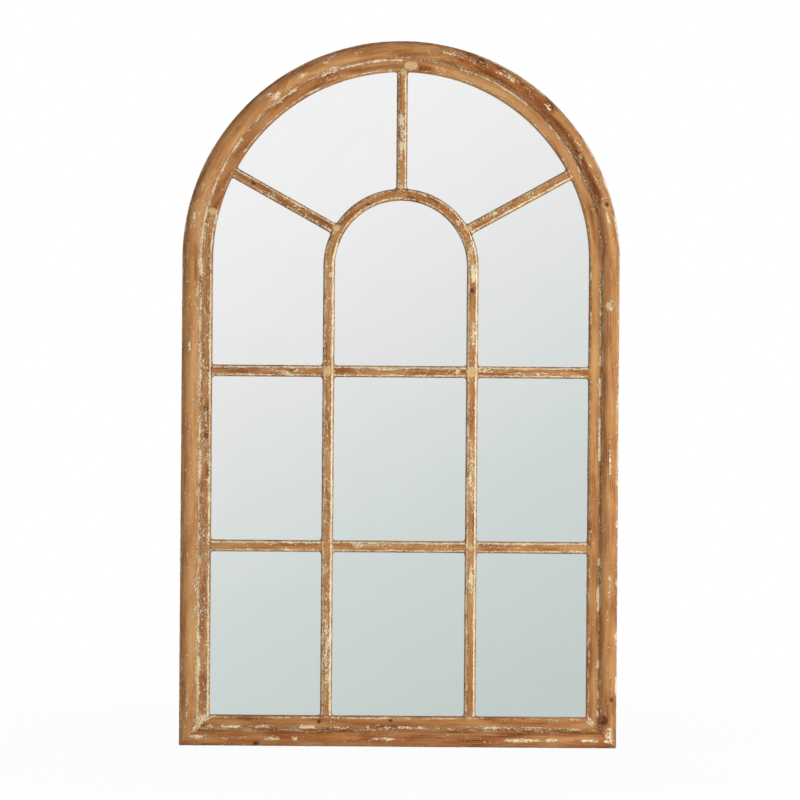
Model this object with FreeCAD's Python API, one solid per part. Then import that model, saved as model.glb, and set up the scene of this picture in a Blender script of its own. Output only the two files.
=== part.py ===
import FreeCAD, Part
import math
import os

Vec = FreeCAD.Vector

# Arched window mirror, hung on a wall. Millimetres.
# +X to the right as seen from the front, +Y into the wall, +Z up.
# The origin lies on the wall, midway between the two wall hooks.

# ---------------------------------------------------------------- driving dimensions

# outline of the moulding, seen from the front
frame_width = 800.0             # over the moulding
spring_height = 888.0           # underside to the centre of the round head
hook_height = 915.0             # underside to the line of the wall hooks

# moulding section
moulding_width = 32.0           # half-round, seen from the front
moulding_depth = 36.0           # back face to the crest
half_round_rise = 12.5          # crest above the two shoulders
moulding_back_width = 22.0      # what is left behind, outside the rebate
corner_radius = 3.0             # the two lower corners, seen from the front
rebate_gap = 0.3                # sash edge to rebate wall
lip_edge = 1.5                  # thickness of the moulding's lip where it ends over the sash

# sash and glazing bars
sash_face = 23.5                # flat band in sight, bevel included
sash_depth = 12.0
bar_width = 21.5                # uprights, cross bars and inner arch
spoke_width = 20.0
bar_centre_x = 131.25           # uprights, from the middle
pane_row_height = 298.5         # sight height of the two lower rows
inner_arch_height = 877.0       # underside to the centre of the inner arch
spoke_angle = 61.0              # outer spokes, from upright
bevel_width = 4.5               # bevel round every pane
bevel_depth = 5.5
sight_corner_radius = 2.5       # worn-in corners of the openings

# mirror panes
pane_thickness = 3.0
pane_cover = 6.0                # how far the rebate runs in behind the sight edge
pane_gap = 0.5                  # pane edge to rebate wall

# backing board
board_thickness = 5.0
board_gap = 0.5                 # board edge to rebate wall

# joints of the moulding: angle on the head from upright, clockwise, and the lean of the slanting cut
shoulder_joint_angle = 73.0
crown_joint_angle = 11.8
left_joint_angle = -33.0
scarf_lean = 55.0               # between the cut and the radius, at the outer end
# joints of the sash, square to the curve
sash_joint_angles = (-75.0, -19.0, 5.0, 38.0, 74.0)
# joints of the inner arch
inner_foot_joint_angle = 70.0
inner_crown_joint_angle = 5.0

# tenons of bars and spokes
tenon_width = 10.0
tenon_thickness = 5.0
tenon_length = 8.0
tenon_gap = 0.15                # round the tenon and at its end

# dowels: diameter and length
frame_dowel_diameter = 6.0
frame_dowel_length = 16.0
frame_dowel_inset = 11.5        # from the outer edge
frame_dowel_depths = (7.0, 17.0)    # from the back face
sash_dowel_diameter = 5.0
sash_dowel_length = 24.0
bar_dowel_diameter = 4.0
bar_dowel_length = 16.0

# panel pins through the sash into the moulding
pin_diameter = 1.6
pin_length = 17.0
pin_inset = 27.0                # from the outer edge
pin_head_diameter = 2.4
pin_head_height = 0.8

# screws of the backing board
board_screw_inset = 38.0        # from the outer edge
board_screw_diameter = 3.0
board_screw_length = 14.0       # under the head
board_screw_head_diameter = 6.0
board_screw_head_height = 2.0
stile_fixing_pitch = 190.0
stile_fixing_count = 5
stile_fixing_start = 100.0      # lowest one, above the underside
rail_fixing_places = (-240.0, -80.0, 80.0, 240.0)
head_fixing_pitch = 22.0        # degrees
head_fixing_count = 7

# strap hangers and D-rings
hanger_inset = 13.0             # hanger's middle, from the outer edge
strap_width = 14.0
strap_thickness = 1.2
strap_length = 50.0             # pivot to the far end
strap_screw_places = (26.0, 42.0)   # below the pivot
strap_screw_diameter = 3.2
strap_screw_length = 14.0
strap_screw_head_diameter = 6.4
strap_screw_head_height = 2.0
ring_wire_diameter = 3.0
ring_running_gap = 0.08         # wire to eye, all round
ring_strap_gap = 0.3            # hanging ring to strap
ring_half_width = 10.0          # to the wire's middle
ring_reach = 17.5               # pivot to the far wire's middle
ring_bend_radius = 3.0          # at the two ends of the straight side

# wall bumpers
bumper_height = 7.0             # holds the back of the frame off the wall
bumper_diameter = 18.0
bumper_edge = 1.5               # bevel round the face
bumper_corner_inset = 60.0      # pad's middle, from the side
bumper_inset = 11.0             # from the underside

# ---------------------------------------------------------------- worked out from them

half_width = frame_width / 2
under_z = -hook_height
spring_z = under_z + spring_height
inner_z = under_z + inner_arch_height
frame_back_y = -bumper_height
crest_y = frame_back_y - moulding_depth
shoulder_y = crest_y + half_round_rise
sash_front_y = shoulder_y + lip_edge
sash_back_y = sash_front_y + sash_depth
pane_front_y = sash_back_y - pane_thickness
board_back_y = sash_back_y + board_thickness
sight_inset = moulding_width + sash_face
sight_half_width = half_width - sight_inset
sight_bottom_z = under_z + sight_inset
lower_bar_z = sight_bottom_z + pane_row_height + bar_width / 2
upper_bar_z = lower_bar_z + bar_width + pane_row_height
lap_y = (sash_front_y + sash_back_y) / 2
over = 1.0                      # how far a cutter runs past the face it cuts

# angle and lean of each slanting cut, and the angles of the inner arch's joints, from left to right
frame_scarfs = ((-shoulder_joint_angle, -scarf_lean), (left_joint_angle, scarf_lean),
                (crown_joint_angle, -scarf_lean), (shoulder_joint_angle, scarf_lean))
inner_joint_angles = (-inner_foot_joint_angle, inner_crown_joint_angle, inner_foot_joint_angle)


# ---------------------------------------------------------------- helpers

def face_of(edges):
    """Flat face inside a closed run of edges."""
    return Part.Face(Part.Wire(Part.__sortEdges__(edges)))


def slab(low_x, high_x, low_z, high_z, front_y, back_y):
    """Upright block between two depths."""
    return Part.makeBox(high_x - low_x, back_y - front_y, high_z - low_z, Vec(low_x, front_y, low_z))


def arch_block(half, bottom_z, centre_z, front_y, back_y):
    """Block with a round head: straight sides up to centre_z, then half a disc."""
    low_left, low_right = Vec(-half, front_y, bottom_z), Vec(half, front_y, bottom_z)
    left, right = Vec(-half, front_y, centre_z), Vec(half, front_y, centre_z)
    top = Vec(0, front_y, centre_z + half)
    outline = [Part.LineSegment(low_left, low_right).toShape(),
               Part.LineSegment(low_right, right).toShape(),
               Part.Arc(right, top, left).toShape(),
               Part.LineSegment(left, low_left).toShape()]
    return face_of(outline).extrude(Vec(0, back_y - front_y, 0))


def outward(angle):
    """Unit vector away from the middle of a round head, angle from upright, clockwise from the front."""
    turn = math.radians(angle)
    return Vec(math.sin(turn), 0, math.cos(turn))


def around(angle):
    """Unit vector along a round head, clockwise from the front."""
    return outward(angle + 90)


def head_point(radius, angle, y, centre_z):
    return Vec(0, y, centre_z) + outward(angle) * radius


def rod(start, direction, diameter, length):
    return Part.makeCylinder(diameter / 2, length, start, direction)


def cross_rod(middle, direction, diameter, length):
    """Round rod centred on a point."""
    return rod(middle - direction * (length / 2), direction, diameter, length)


def joint_face(middle, direction, reach):
    """Upright cutting plane through middle, running reach each way along direction."""
    low, high = middle - direction * reach, middle + direction * reach
    front_y, back_y = crest_y - over, frame_back_y + over
    corners = [Vec(low.x, front_y, low.z), Vec(high.x, front_y, high.z),
               Vec(high.x, back_y, high.z), Vec(low.x, back_y, low.z)]
    return Part.Face(Part.makePolygon(corners + corners[:1]))


def cut_up(solid, faces):
    """Pieces of a solid between the given joint faces."""
    pieces, _ = solid.generalFuse(faces)
    return pieces.Solids


def nearest(pieces, point):
    """The piece whose middle lies nearest to a point."""
    return min(pieces, key=lambda piece: piece.CenterOfMass.distanceToPoint(point))


def mirrored(shape):
    """The same piece on the other side."""
    return shape.mirror(Vec(0, 0, 0), Vec(1, 0, 0))


def both_sides(shape):
    return [mirrored(shape), shape]


def save(name, shape):
    solids = shape.Solids
    result = solids[0] if len(solids) == 1 else Part.makeCompound(solids)
    result.exportStep("parts/" + name + ".step")
    print(name, "solids", len(solids), "volume", round(result.Volume, 1), "valid", result.isValid())


# ---------------------------------------------------------------- places of joints and fixings

def mitre_direction(side):
    """Along the mitre, from the outer corner inwards. side is -1 on the left and 1 on the right."""
    return Vec(-side, 0, 1).normalize()


def mitre_point(side, inset, y):
    return Vec(side * (half_width - inset), y, under_z + inset)


def scarf_line(angle, lean):
    """Direction of a slanting cut: the radius, leant clockwise by lean degrees at its outer end."""
    return outward(angle + lean)


def scarf_point(angle, lean, inset, y):
    """Point on a slanting cut at an inset from the outer edge."""
    middle_radius = half_width - moulding_width / 2
    step = (half_width - inset - middle_radius) / math.cos(math.radians(lean))
    return head_point(middle_radius, angle, y, spring_z) + scarf_line(angle, lean) * step


def perimeter_places(inset, y, heights, bottoms, angles):
    """Points round the frame at one inset: up both stiles, along the rail and round the head."""
    places = [Vec(side * (half_width - inset), y, under_z + height) for side in (-1, 1) for height in heights]
    places += [Vec(x, y, under_z + inset) for x in bottoms]
    places += [head_point(half_width - inset, angle, y, spring_z) for angle in angles]
    return places


def spread(count, pitch):
    """Places at one pitch, centred on nought."""
    return [(number - (count - 1) / 2) * pitch for number in range(count)]


# ---------------------------------------------------------------- openings of the lattice

def sash_light(grown, front_y, back_y):
    """The clear inside of the sash, grown all round."""
    return arch_block(sight_half_width + grown, sight_bottom_z - grown, spring_z, front_y, back_y)


def spoke_block(angle, half, start, end, front_y, back_y):
    """Straight block along a spoke, from one distance off the inner arch's centre to another."""
    block = slab(-half, half, inner_z + start, inner_z + end, front_y, back_y)
    block.rotate(Vec(0, 0, inner_z), Vec(0, 1, 0), angle)
    return block


def spoke_angles():
    return {"left": -spoke_angle, "centre": 0.0, "right": spoke_angle}


def bar_ring(half, bottom_z, front_y, back_y):
    """Uprights and inner arch in one, half wide to each side of their middle line."""
    outer = arch_block(bar_centre_x + half, bottom_z, inner_z, front_y, back_y)
    inner = arch_block(bar_centre_x - half, bottom_z - over, inner_z, front_y, back_y)
    return outer.cut(inner)


def pane_name(middle):
    """Name of an opening from the middle of its area."""
    if middle.z < upper_bar_z:
        row = "lower" if middle.z < lower_bar_z else "middle"
        column = "centre" if abs(middle.x) < bar_centre_x else ("left" if middle.x < 0 else "right")
        return row + "_" + column
    if abs(middle.x) < over:
        return "head_centre"
    side = "left" if middle.x < 0 else "right"
    angle = math.degrees(math.atan2(abs(middle.x), middle.z - inner_z))
    return "head_" + side + ("_upper" if angle < spoke_angle else "_lower")


def openings(grown, front_y, back_y):
    """The eleven openings between the bars, each grown all round, by name."""
    bar_half, spoke_half = bar_width / 2 - grown, spoke_width / 2 - grown
    reach, bottom_z = sight_half_width + frame_width, under_z
    bars = [bar_ring(bar_half, bottom_z, front_y, back_y)]
    bars += [slab(-half_width, half_width, z - bar_half, z + bar_half, front_y, back_y)
             for z in (lower_bar_z, upper_bar_z)]
    bars += [spoke_block(angle, spoke_half, bar_centre_x, reach, front_y, back_y)
             for angle in spoke_angles().values()]
    solids = sash_light(grown, front_y, back_y).cut(bars).Solids
    return {pane_name(solid.CenterOfMass): solid for solid in solids}


def corner_edges(solid):
    """The edges along Y where two sides meet at an angle."""
    found = []
    for edge in solid.Edges:
        along_y = abs(edge.tangentAt(edge.FirstParameter).y) > 0.999
        if not along_y:
            continue
        point = edge.valueAt((edge.FirstParameter + edge.LastParameter) / 2)
        first, second = [face.normalAt(*face.Surface.parameter(point))
                         for face in solid.ancestorsOfType(edge, Part.Face)]
        if first.getAngle(second) > math.radians(5):
            found.append(edge)
    return found


def rounded_opening(solid, radius):
    return solid.makeFillet(radius, corner_edges(solid))


def front_wire(solid):
    """Outline of a block's front face."""
    return min(solid.Faces, key=lambda face: face.CenterOfMass.y).OuterWire


def sight_cutters():
    """What the glazing side of every opening takes away: bevel, sight edge and rebate."""
    slope = bevel_width / bevel_depth
    bevel_foot_y = sash_front_y + bevel_depth
    straight = openings(0.0, bevel_foot_y, pane_front_y + over)
    flared = openings(bevel_width + over * slope, sash_front_y - over, bevel_foot_y)
    rebates = openings(pane_cover, pane_front_y, sash_back_y + over)
    cutters = []
    for name, opening in straight.items():
        throat = rounded_opening(opening, sight_corner_radius)
        mouth = rounded_opening(flared[name], sight_corner_radius + bevel_width)
        bevel = Part.makeLoft([front_wire(mouth), front_wire(throat)], True, True)
        cutters += [throat, bevel, rebates[name]]
    return cutters


# ---------------------------------------------------------------- moulding

def moulding_section():
    """Section of the moulding at the right stile, on the spring line."""
    def at(inset, y):
        return Vec(half_width - inset, y, spring_z)
    outer_rim, inner_rim = at(0, shoulder_y), at(moulding_width, shoulder_y)
    corners = [inner_rim, at(moulding_width, sash_front_y), at(moulding_back_width, sash_front_y),
               at(moulding_back_width, frame_back_y), at(0, frame_back_y), outer_rim]
    edges = [Part.Arc(outer_rim, at(moulding_width / 2, crest_y), inner_rim).toShape()]
    edges += [Part.LineSegment(low, high).toShape() for low, high in zip(corners, corners[1:])]
    return face_of(edges)


def moulding_rail(section):
    """The section turned to lie along the underside, over the whole width."""
    rail_end = section.copy()
    rail_end.rotate(Vec(half_width, 0, spring_z), Vec(0, 1, 0), 90)
    rail_end.translate(Vec(0, 0, under_z - spring_z))
    return rail_end.extrude(Vec(-frame_width, 0, 0))


def corner_waste():
    """What rounds the two lower corners off."""
    middle = mitre_point(1, corner_radius, crest_y - over)
    block = slab(middle.x, half_width + over, under_z - over, middle.z, crest_y - over, frame_back_y + over)
    waste = block.cut(rod(middle, Vec(0, 1, 0), 2 * corner_radius, moulding_depth + 2 * over))
    return both_sides(waste)


def moulding_pieces():
    """Rail, stiles and the three pieces of the head, by name, before drilling."""
    section = moulding_section()
    corners = [Vec(-half_width, crest_y - over, under_z), Vec(half_width, crest_y - over, under_z),
               Vec(0, crest_y - over, under_z + half_width)]
    between_mitres = Part.Face(Part.makePolygon(corners + corners[:1])).extrude(Vec(0, frame_width, 0))
    rail = moulding_rail(section).common(between_mitres)
    stile = section.extrude(Vec(0, 0, -spring_height)).cut(between_mitres)
    head = section.revolve(Vec(0, 0, spring_z), Vec(0, -1, 0), 180)
    upper = head.fuse(both_sides(stile)).removeSplitter()
    faces = [joint_face(scarf_point(angle, lean, moulding_width / 2, 0), scarf_line(angle, lean),
                        moulding_width) for angle, lean in frame_scarfs]
    parts = cut_up(upper, faces)
    bounds = [angle for angle, _ in frame_scarfs]
    names = ["frame_arch_left", "frame_arch_crown", "frame_arch_right"]
    pieces = {"frame_rail": rail}
    for name, low, high in zip(names, bounds, bounds[1:]):
        pieces[name] = nearest(parts, head_point(half_width, (low + high) / 2, crest_y, spring_z))
    for side, name in ((-1, "frame_stile_left"), (1, "frame_stile_right")):
        pieces[name] = nearest(parts, Vec(side * half_width, crest_y, under_z + spring_height / 2))
    return pieces


# ---------------------------------------------------------------- sash and bars

def sash_pieces():
    """Rail, stiles and the four pieces of the sash's head, by name, before rebating."""
    edge = half_width - moulding_back_width - rebate_gap
    bottom_z = under_z + moulding_back_width + rebate_gap
    ring = arch_block(edge, bottom_z, spring_z, sash_front_y, sash_back_y).cut(
        sash_light(0.0, sash_front_y, sash_back_y))
    radius = half_width - sight_inset + sash_face / 2
    faces = [joint_face(head_point(radius, angle, 0, spring_z), outward(angle), moulding_width)
             for angle in sash_joint_angles]
    faces += [joint_face(mitre_point(side, moulding_width, 0), mitre_direction(side), sight_inset)
              for side in (-1, 1)]
    parts = cut_up(ring, faces)
    names = ["sash_arch_left", "sash_arch_crown", "sash_arch_upper_right", "sash_arch_right"]
    pieces = {"sash_rail": nearest(parts, Vec(0, sash_front_y, bottom_z))}
    for name, low, high in zip(names, sash_joint_angles, sash_joint_angles[1:]):
        pieces[name] = nearest(parts, head_point(radius, (low + high) / 2, sash_front_y, spring_z))
    for side, name in ((-1, "sash_stile_left"), (1, "sash_stile_right")):
        pieces[name] = nearest(parts, Vec(side * edge, sash_front_y, under_z + spring_height / 2))
    return pieces


def ring_pieces():
    """Two uprights with the feet of the inner arch, and the arch's two upper pieces."""
    ring = bar_ring(bar_width / 2, sight_bottom_z, sash_front_y, sash_back_y)
    faces = [joint_face(head_point(bar_centre_x, angle, 0, inner_z), outward(angle), bar_width)
             for angle in inner_joint_angles]
    parts = cut_up(ring, faces)
    foot_z = (sight_bottom_z + inner_z) / 2
    left_angle = (inner_joint_angles[0] + inner_joint_angles[1]) / 2
    right_angle = (inner_joint_angles[1] + inner_joint_angles[2]) / 2
    return {"upright_left": nearest(parts, Vec(-bar_centre_x, 0, foot_z)),
            "upright_right": nearest(parts, Vec(bar_centre_x, 0, foot_z)),
            "inner_arch_left": nearest(parts, head_point(bar_centre_x, left_angle, 0, inner_z)),
            "inner_arch_right": nearest(parts, head_point(bar_centre_x, right_angle, 0, inner_z))}


def lap_blocks(front_y, back_y):
    """Where uprights and cross bars cross, between two depths."""
    half = bar_width / 2
    return [slab(side * bar_centre_x - half, side * bar_centre_x + half, z - half, z + half, front_y, back_y)
            for side in (-1, 1) for z in (lower_bar_z, upper_bar_z)]


def tenon(start, direction, grown):
    """Stub tenon rooted in a bar's end; its mortise is the same block, grown all round."""
    length = 2 * tenon_length + grown
    width, thickness = tenon_width + 2 * grown, tenon_thickness + 2 * grown
    middle_y = (sash_front_y + pane_front_y) / 2
    block = Part.makeBox(width, thickness, length, Vec(-width / 2, middle_y - thickness / 2, -tenon_length))
    block.rotate(Vec(0, 0, 0), Vec(0, 1, 0), math.degrees(math.atan2(direction.x, direction.z)))
    block.translate(Vec(start.x, 0, start.z))
    return block


def spoke_span(angle):
    """Where a spoke's middle line starts on the inner arch and ends on the sash."""
    turn, offset = math.radians(angle), spring_z - inner_z
    end = offset * math.cos(turn) + math.sqrt(sight_half_width ** 2 - (offset * math.sin(turn)) ** 2)
    return bar_centre_x + bar_width / 2, end


def tenon_places():
    """Start and direction of every stub tenon, by the bar that carries it."""
    places = {}
    for name, z in (("cross_bar_lower", lower_bar_z), ("cross_bar_upper", upper_bar_z)):
        places[name] = [(Vec(side * sight_half_width, 0, z), Vec(side, 0, 0)) for side in (-1, 1)]
    for side, name in ((-1, "upright_left"), (1, "upright_right")):
        places[name] = [(Vec(side * bar_centre_x, 0, sight_bottom_z), Vec(0, 0, -1))]
    for name, angle in spoke_angles().items():
        start, end = spoke_span(angle)
        places["spoke_" + name] = [(head_point(start, angle, 0, inner_z), outward(angle + 180)),
                                   (head_point(end, angle, 0, inner_z), outward(angle))]
    return places


def bar_blanks():
    """Uprights, inner arch, cross bars and spokes, halved over each other, before rebating."""
    blanks = ring_pieces()
    for name in ("upright_left", "upright_right"):
        blanks[name] = blanks[name].cut(lap_blocks(lap_y, sash_back_y + over))
    half = bar_width / 2
    for name, z in (("cross_bar_lower", lower_bar_z), ("cross_bar_upper", upper_bar_z)):
        bar = slab(-sight_half_width, sight_half_width, z - half, z + half, sash_front_y, sash_back_y)
        blanks[name] = bar.cut(lap_blocks(sash_front_y - over, lap_y))
    inner_block = arch_block(bar_centre_x + half, sight_bottom_z, inner_z, sash_front_y, sash_back_y)
    light = sash_light(0.0, sash_front_y, sash_back_y)
    for name, angle in spoke_angles().items():
        block = spoke_block(angle, spoke_width / 2, bar_centre_x, frame_width, sash_front_y, sash_back_y)
        blanks["spoke_" + name] = block.common(light).cut(inner_block)
    return blanks


# ---------------------------------------------------------------- dowels, pins and screws

def frame_dowels():
    rods = []
    for depth in frame_dowel_depths:
        y = frame_back_y - depth
        for side in (-1, 1):
            across = outward(side * 45.0)
            rods.append(cross_rod(mitre_point(side, frame_dowel_inset, y), across,
                                  frame_dowel_diameter, frame_dowel_length))
        for angle, lean in frame_scarfs:
            rods.append(cross_rod(scarf_point(angle, lean, frame_dowel_inset, y), around(angle + lean),
                                  frame_dowel_diameter, frame_dowel_length))
    return rods


def sash_dowels():
    y = (sash_front_y + pane_front_y) / 2
    rods = [cross_rod(mitre_point(side, board_screw_inset, y), outward(side * 45.0),
                      sash_dowel_diameter, sash_dowel_length) for side in (-1, 1)]
    rods += [cross_rod(head_point(half_width - board_screw_inset, angle, y, spring_z), around(angle),
                       sash_dowel_diameter, sash_dowel_length) for angle in sash_joint_angles]
    return rods


def bar_dowels():
    y = (sash_front_y + pane_front_y) / 2
    return [cross_rod(head_point(bar_centre_x, angle, y, inner_z), around(angle),
                      bar_dowel_diameter, bar_dowel_length) for angle in inner_joint_angles]


def fastener(head_start, head_diameter, head_height, diameter, length, direction):
    """Head and straight shank, from the head's top along direction."""
    head = rod(head_start, direction, head_diameter, head_height)
    shank = rod(head_start + direction * head_height, direction, diameter, length)
    return head.fuse(shank).removeSplitter()


def fixing_heights():
    return [stile_fixing_start + number * stile_fixing_pitch for number in range(stile_fixing_count)]


def sash_pins():
    """Panel pins, sunk flush in the back of the sash, half way between the board's screws."""
    heights = [height + stile_fixing_pitch / 2 for height in fixing_heights()[:-1]]
    bottoms = [(low + high) / 2 for low, high in zip(rail_fixing_places, rail_fixing_places[1:])]
    angles = spread(head_fixing_count - 1, head_fixing_pitch)
    return [fastener(place, pin_head_diameter, pin_head_height, pin_diameter, pin_length, Vec(0, -1, 0))
            for place in perimeter_places(pin_inset, sash_back_y, heights, bottoms, angles)]


def board_screws():
    head_y = board_back_y + board_screw_head_height
    angles = spread(head_fixing_count, head_fixing_pitch)
    places = perimeter_places(board_screw_inset, head_y, fixing_heights(), rail_fixing_places, angles)
    return [fastener(place, board_screw_head_diameter, board_screw_head_height,
                     board_screw_diameter, board_screw_length, Vec(0, -1, 0)) for place in places]


# ---------------------------------------------------------------- hangers and bumpers

def pivot():
    """Middle of the right eye: the wire, its gap and the strap lie between it and the frame's back."""
    y = frame_back_y + strap_thickness + ring_strap_gap + ring_wire_diameter / 2
    return Vec(half_width - hanger_inset, y, ring_wire_diameter / 2 - ring_reach)


def strap_screw_points(y):
    middle = pivot()
    return [Vec(middle.x, y, middle.z - drop) for drop in strap_screw_places]


def strap_screws():
    head_y = frame_back_y + strap_thickness + strap_screw_head_height
    return [fastener(place, strap_screw_head_diameter, strap_screw_head_height,
                     strap_screw_diameter, strap_screw_length, Vec(0, -1, 0))
            for place in strap_screw_points(head_y)]


def hanger_strap():
    """Flat strap on the back of the stile, rolled at its upper end into the eye."""
    middle = pivot()
    left_x, foot_z = middle.x - strap_width / 2, middle.z - strap_length
    strap = slab(left_x, left_x + strap_width, foot_z, middle.z, frame_back_y, frame_back_y + strap_thickness)
    foot_edges = [edge for edge in corner_edges(strap) if edge.CenterOfMass.z < foot_z + over]
    strap = strap.makeFillet(strap_width / 4, foot_edges)
    bore_diameter = ring_wire_diameter + 2 * ring_running_gap
    eye_start = Vec(left_x, middle.y, middle.z)
    eye = rod(eye_start, Vec(1, 0, 0), bore_diameter + 2 * strap_thickness, strap_width)
    bore = rod(eye_start, Vec(1, 0, 0), bore_diameter, strap_width)
    return strap.fuse(eye).cut(bore).cut(strap_screws()).removeSplitter()


def hanger_ring():
    """D-ring of round wire: straight side in the eye, two sides down and a half circle."""
    middle = pivot()

    def at(x, drop):
        return Vec(middle.x + x, middle.y, middle.z - drop)
    side, bend, foot = ring_half_width, ring_bend_radius, ring_reach - ring_half_width
    corner = bend * (1 - math.sqrt(0.5))
    path = [Part.LineSegment(at(bend - side, 0), at(side - bend, 0)),
            Part.Arc(at(side - bend, 0), at(side - corner, corner), at(side, bend)),
            Part.LineSegment(at(side, bend), at(side, foot)),
            Part.Arc(at(side, foot), at(0, ring_reach), at(-side, foot)),
            Part.LineSegment(at(-side, foot), at(-side, bend)),
            Part.Arc(at(-side, bend), at(corner - side, corner), at(bend - side, 0))]
    wire = Part.Wire([run.toShape() for run in path])
    start = Part.Wire(Part.makeCircle(ring_wire_diameter / 2, at(bend - side, 0), Vec(1, 0, 0)))
    return wire.makePipeShell([start], True, False)


def wall_bumper():
    """Round rubber pad on the back of the rail; its flat face bears on the wall."""
    pad = rod(Vec(half_width - bumper_corner_inset, frame_back_y, under_z + bumper_inset), Vec(0, 1, 0),
              bumper_diameter, bumper_height)
    rim = [edge for edge in pad.Edges if edge.Closed and edge.CenterOfMass.y > -bumper_edge]
    return pad.makeChamfer(bumper_edge, rim)


# ---------------------------------------------------------------- assembly

def build():
    nodes = {}
    glazing_cuts = sight_cutters()
    mortises = [tenon(start, direction, tenon_gap)
                for places in tenon_places().values() for start, direction in places]
    pins, screws = sash_pins(), board_screws()
    frame_rods, sash_rods, bar_rods = frame_dowels(), sash_dowels(), bar_dowels()
    hanger_screws = [side for screw in strap_screws() for side in both_sides(screw)]

    for name, piece in moulding_pieces().items():
        nodes[name] = piece.cut(corner_waste() + frame_rods + pins + hanger_screws)
    for name, piece in sash_pieces().items():
        nodes[name] = piece.cut(glazing_cuts + mortises + sash_rods + pins + screws)
    for name, piece in bar_blanks().items():
        nodes[name] = piece.cut(glazing_cuts + bar_rods)
        if name.startswith("inner_arch"):
            nodes[name] = nodes[name].cut(mortises)
    for name, places in tenon_places().items():
        nodes[name] = nodes[name].fuse([tenon(start, direction, 0) for start, direction in places])

    panes = openings(pane_cover - pane_gap, pane_front_y, sash_back_y)
    for name, pane in panes.items():
        nodes["pane_" + name] = pane

    board_inset = moulding_back_width + board_gap
    board = arch_block(half_width - board_inset, under_z + board_inset, spring_z, sash_back_y, board_back_y)
    nodes["backing_board"] = board.cut(screws)

    nodes["frame_dowels"] = Part.makeCompound(frame_rods)
    nodes["sash_dowels"] = Part.makeCompound(sash_rods)
    nodes["inner_arch_dowels"] = Part.makeCompound(bar_rods)
    nodes["sash_pins"] = Part.makeCompound(pins)
    nodes["board_screws"] = Part.makeCompound(screws)
    nodes["hanger_screws"] = Part.makeCompound(hanger_screws)
    for name, piece in (("hanger_strap", hanger_strap()), ("hanger_ring", hanger_ring()),
                        ("wall_bumper", wall_bumper())):
        nodes[name + "_left"], nodes[name + "_right"] = both_sides(piece)
    return nodes


os.makedirs("parts", exist_ok=True)
for node, shape in build().items():
    save(node, shape)
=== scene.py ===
"""Arched window mirror in worn, limewashed fir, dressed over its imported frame.

Plan sizes are in millimetres until a mesh is made; +X is right, +Y goes into the wall and +Z is up.
"""
import logging
import math
from dataclasses import dataclass
from enum import Enum, IntEnum
from typing import Callable, Sequence

import bpy
import numpy as np
from mathutils import Matrix, Vector
from mathutils.geometry import tessellate_polygon


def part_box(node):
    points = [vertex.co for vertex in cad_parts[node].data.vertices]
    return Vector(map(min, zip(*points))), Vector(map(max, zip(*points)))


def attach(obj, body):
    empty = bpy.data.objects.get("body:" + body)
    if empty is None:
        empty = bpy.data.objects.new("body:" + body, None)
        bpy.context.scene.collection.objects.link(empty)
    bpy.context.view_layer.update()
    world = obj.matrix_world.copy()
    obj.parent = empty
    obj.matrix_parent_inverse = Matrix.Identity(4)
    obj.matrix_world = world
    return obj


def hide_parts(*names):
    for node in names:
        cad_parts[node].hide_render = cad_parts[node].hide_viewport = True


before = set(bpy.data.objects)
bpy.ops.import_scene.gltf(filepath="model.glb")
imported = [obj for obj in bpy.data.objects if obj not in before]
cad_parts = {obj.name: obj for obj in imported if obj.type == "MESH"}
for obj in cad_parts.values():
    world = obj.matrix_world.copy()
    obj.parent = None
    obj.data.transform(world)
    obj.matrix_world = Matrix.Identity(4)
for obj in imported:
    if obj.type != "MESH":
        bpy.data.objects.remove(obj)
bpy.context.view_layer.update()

MM = 0.001
FACTOR, COLOUR_A, COLOUR_B, MIXED = 0, 6, 7, 2     # sockets of a Mix node set to colours
WAVE_TURN = 2 * math.pi / 20                       # a Wave texture's period at scale 1
TOUCH = 0.01                                       # surfaces closer than this are one, mm
log = logging.getLogger("arched_mirror")


# ---------------------------------------------------------------- small helpers

def linear(code: str) -> tuple[float, float, float, float]:
    """Turn an sRGB hex colour into linear light.

    Args:
        code: Six hex digits, such as "c89a66".

    Returns:
        Linear red, green, blue and an alpha of 1.
    """
    shares = [int(code[place:place + 2], 16) / 255 for place in (0, 2, 4)]
    red, green, blue = [share / 12.92 if share <= 0.04045 else ((share + 0.055) / 1.055) ** 2.4
                        for share in shares]
    return (red, green, blue, 1.0)


def add(tree: bpy.types.NodeTree, kind: str, settings: dict | None = None,
        links: dict | None = None) -> bpy.types.Node:
    """Add one shader node.

    Args:
        tree: Node tree that gets the node.
        kind: Node type without its ShaderNode prefix.
        settings: Node properties and input values; "stops" fills a colour ramp.
        links: Input names or numbers, each with the socket that feeds it, or a node for its first output.

    Returns:
        The new node.
    """
    node = tree.nodes.new("ShaderNode" + kind)
    for key, value in (settings or {}).items():
        if key == "stops":
            ramp = node.color_ramp
            while len(ramp.elements) < len(value):
                ramp.elements.new(0.5)
            for element, (place, colour) in zip(ramp.elements, value):
                element.position, element.color = place, colour
        elif isinstance(key, str) and hasattr(node, key):
            setattr(node, key, value)
        else:
            node.inputs[key].default_value = value
    for key, source in (links or {}).items():
        socket = source.outputs[0] if isinstance(source, bpy.types.Node) else source
        tree.links.new(socket, node.inputs[key])
    return node


def new_material(name: str) -> tuple[bpy.types.Material, bpy.types.NodeTree]:
    """Start an empty material.

    Args:
        name: Name of the material.

    Returns:
        The material and its node tree.
    """
    material = bpy.data.materials.new(name)
    material.use_nodes = True
    material.node_tree.nodes.clear()
    return material, material.node_tree


def dress(piece: bpy.types.Object, material: bpy.types.Material) -> None:
    """Put one material on the whole of a piece.

    Args:
        piece: Mesh object.
        material: Its finish.
    """
    if not piece.material_slots:
        piece.data.materials.append(material)
    for place in piece.material_slots:
        place.material = material


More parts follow.
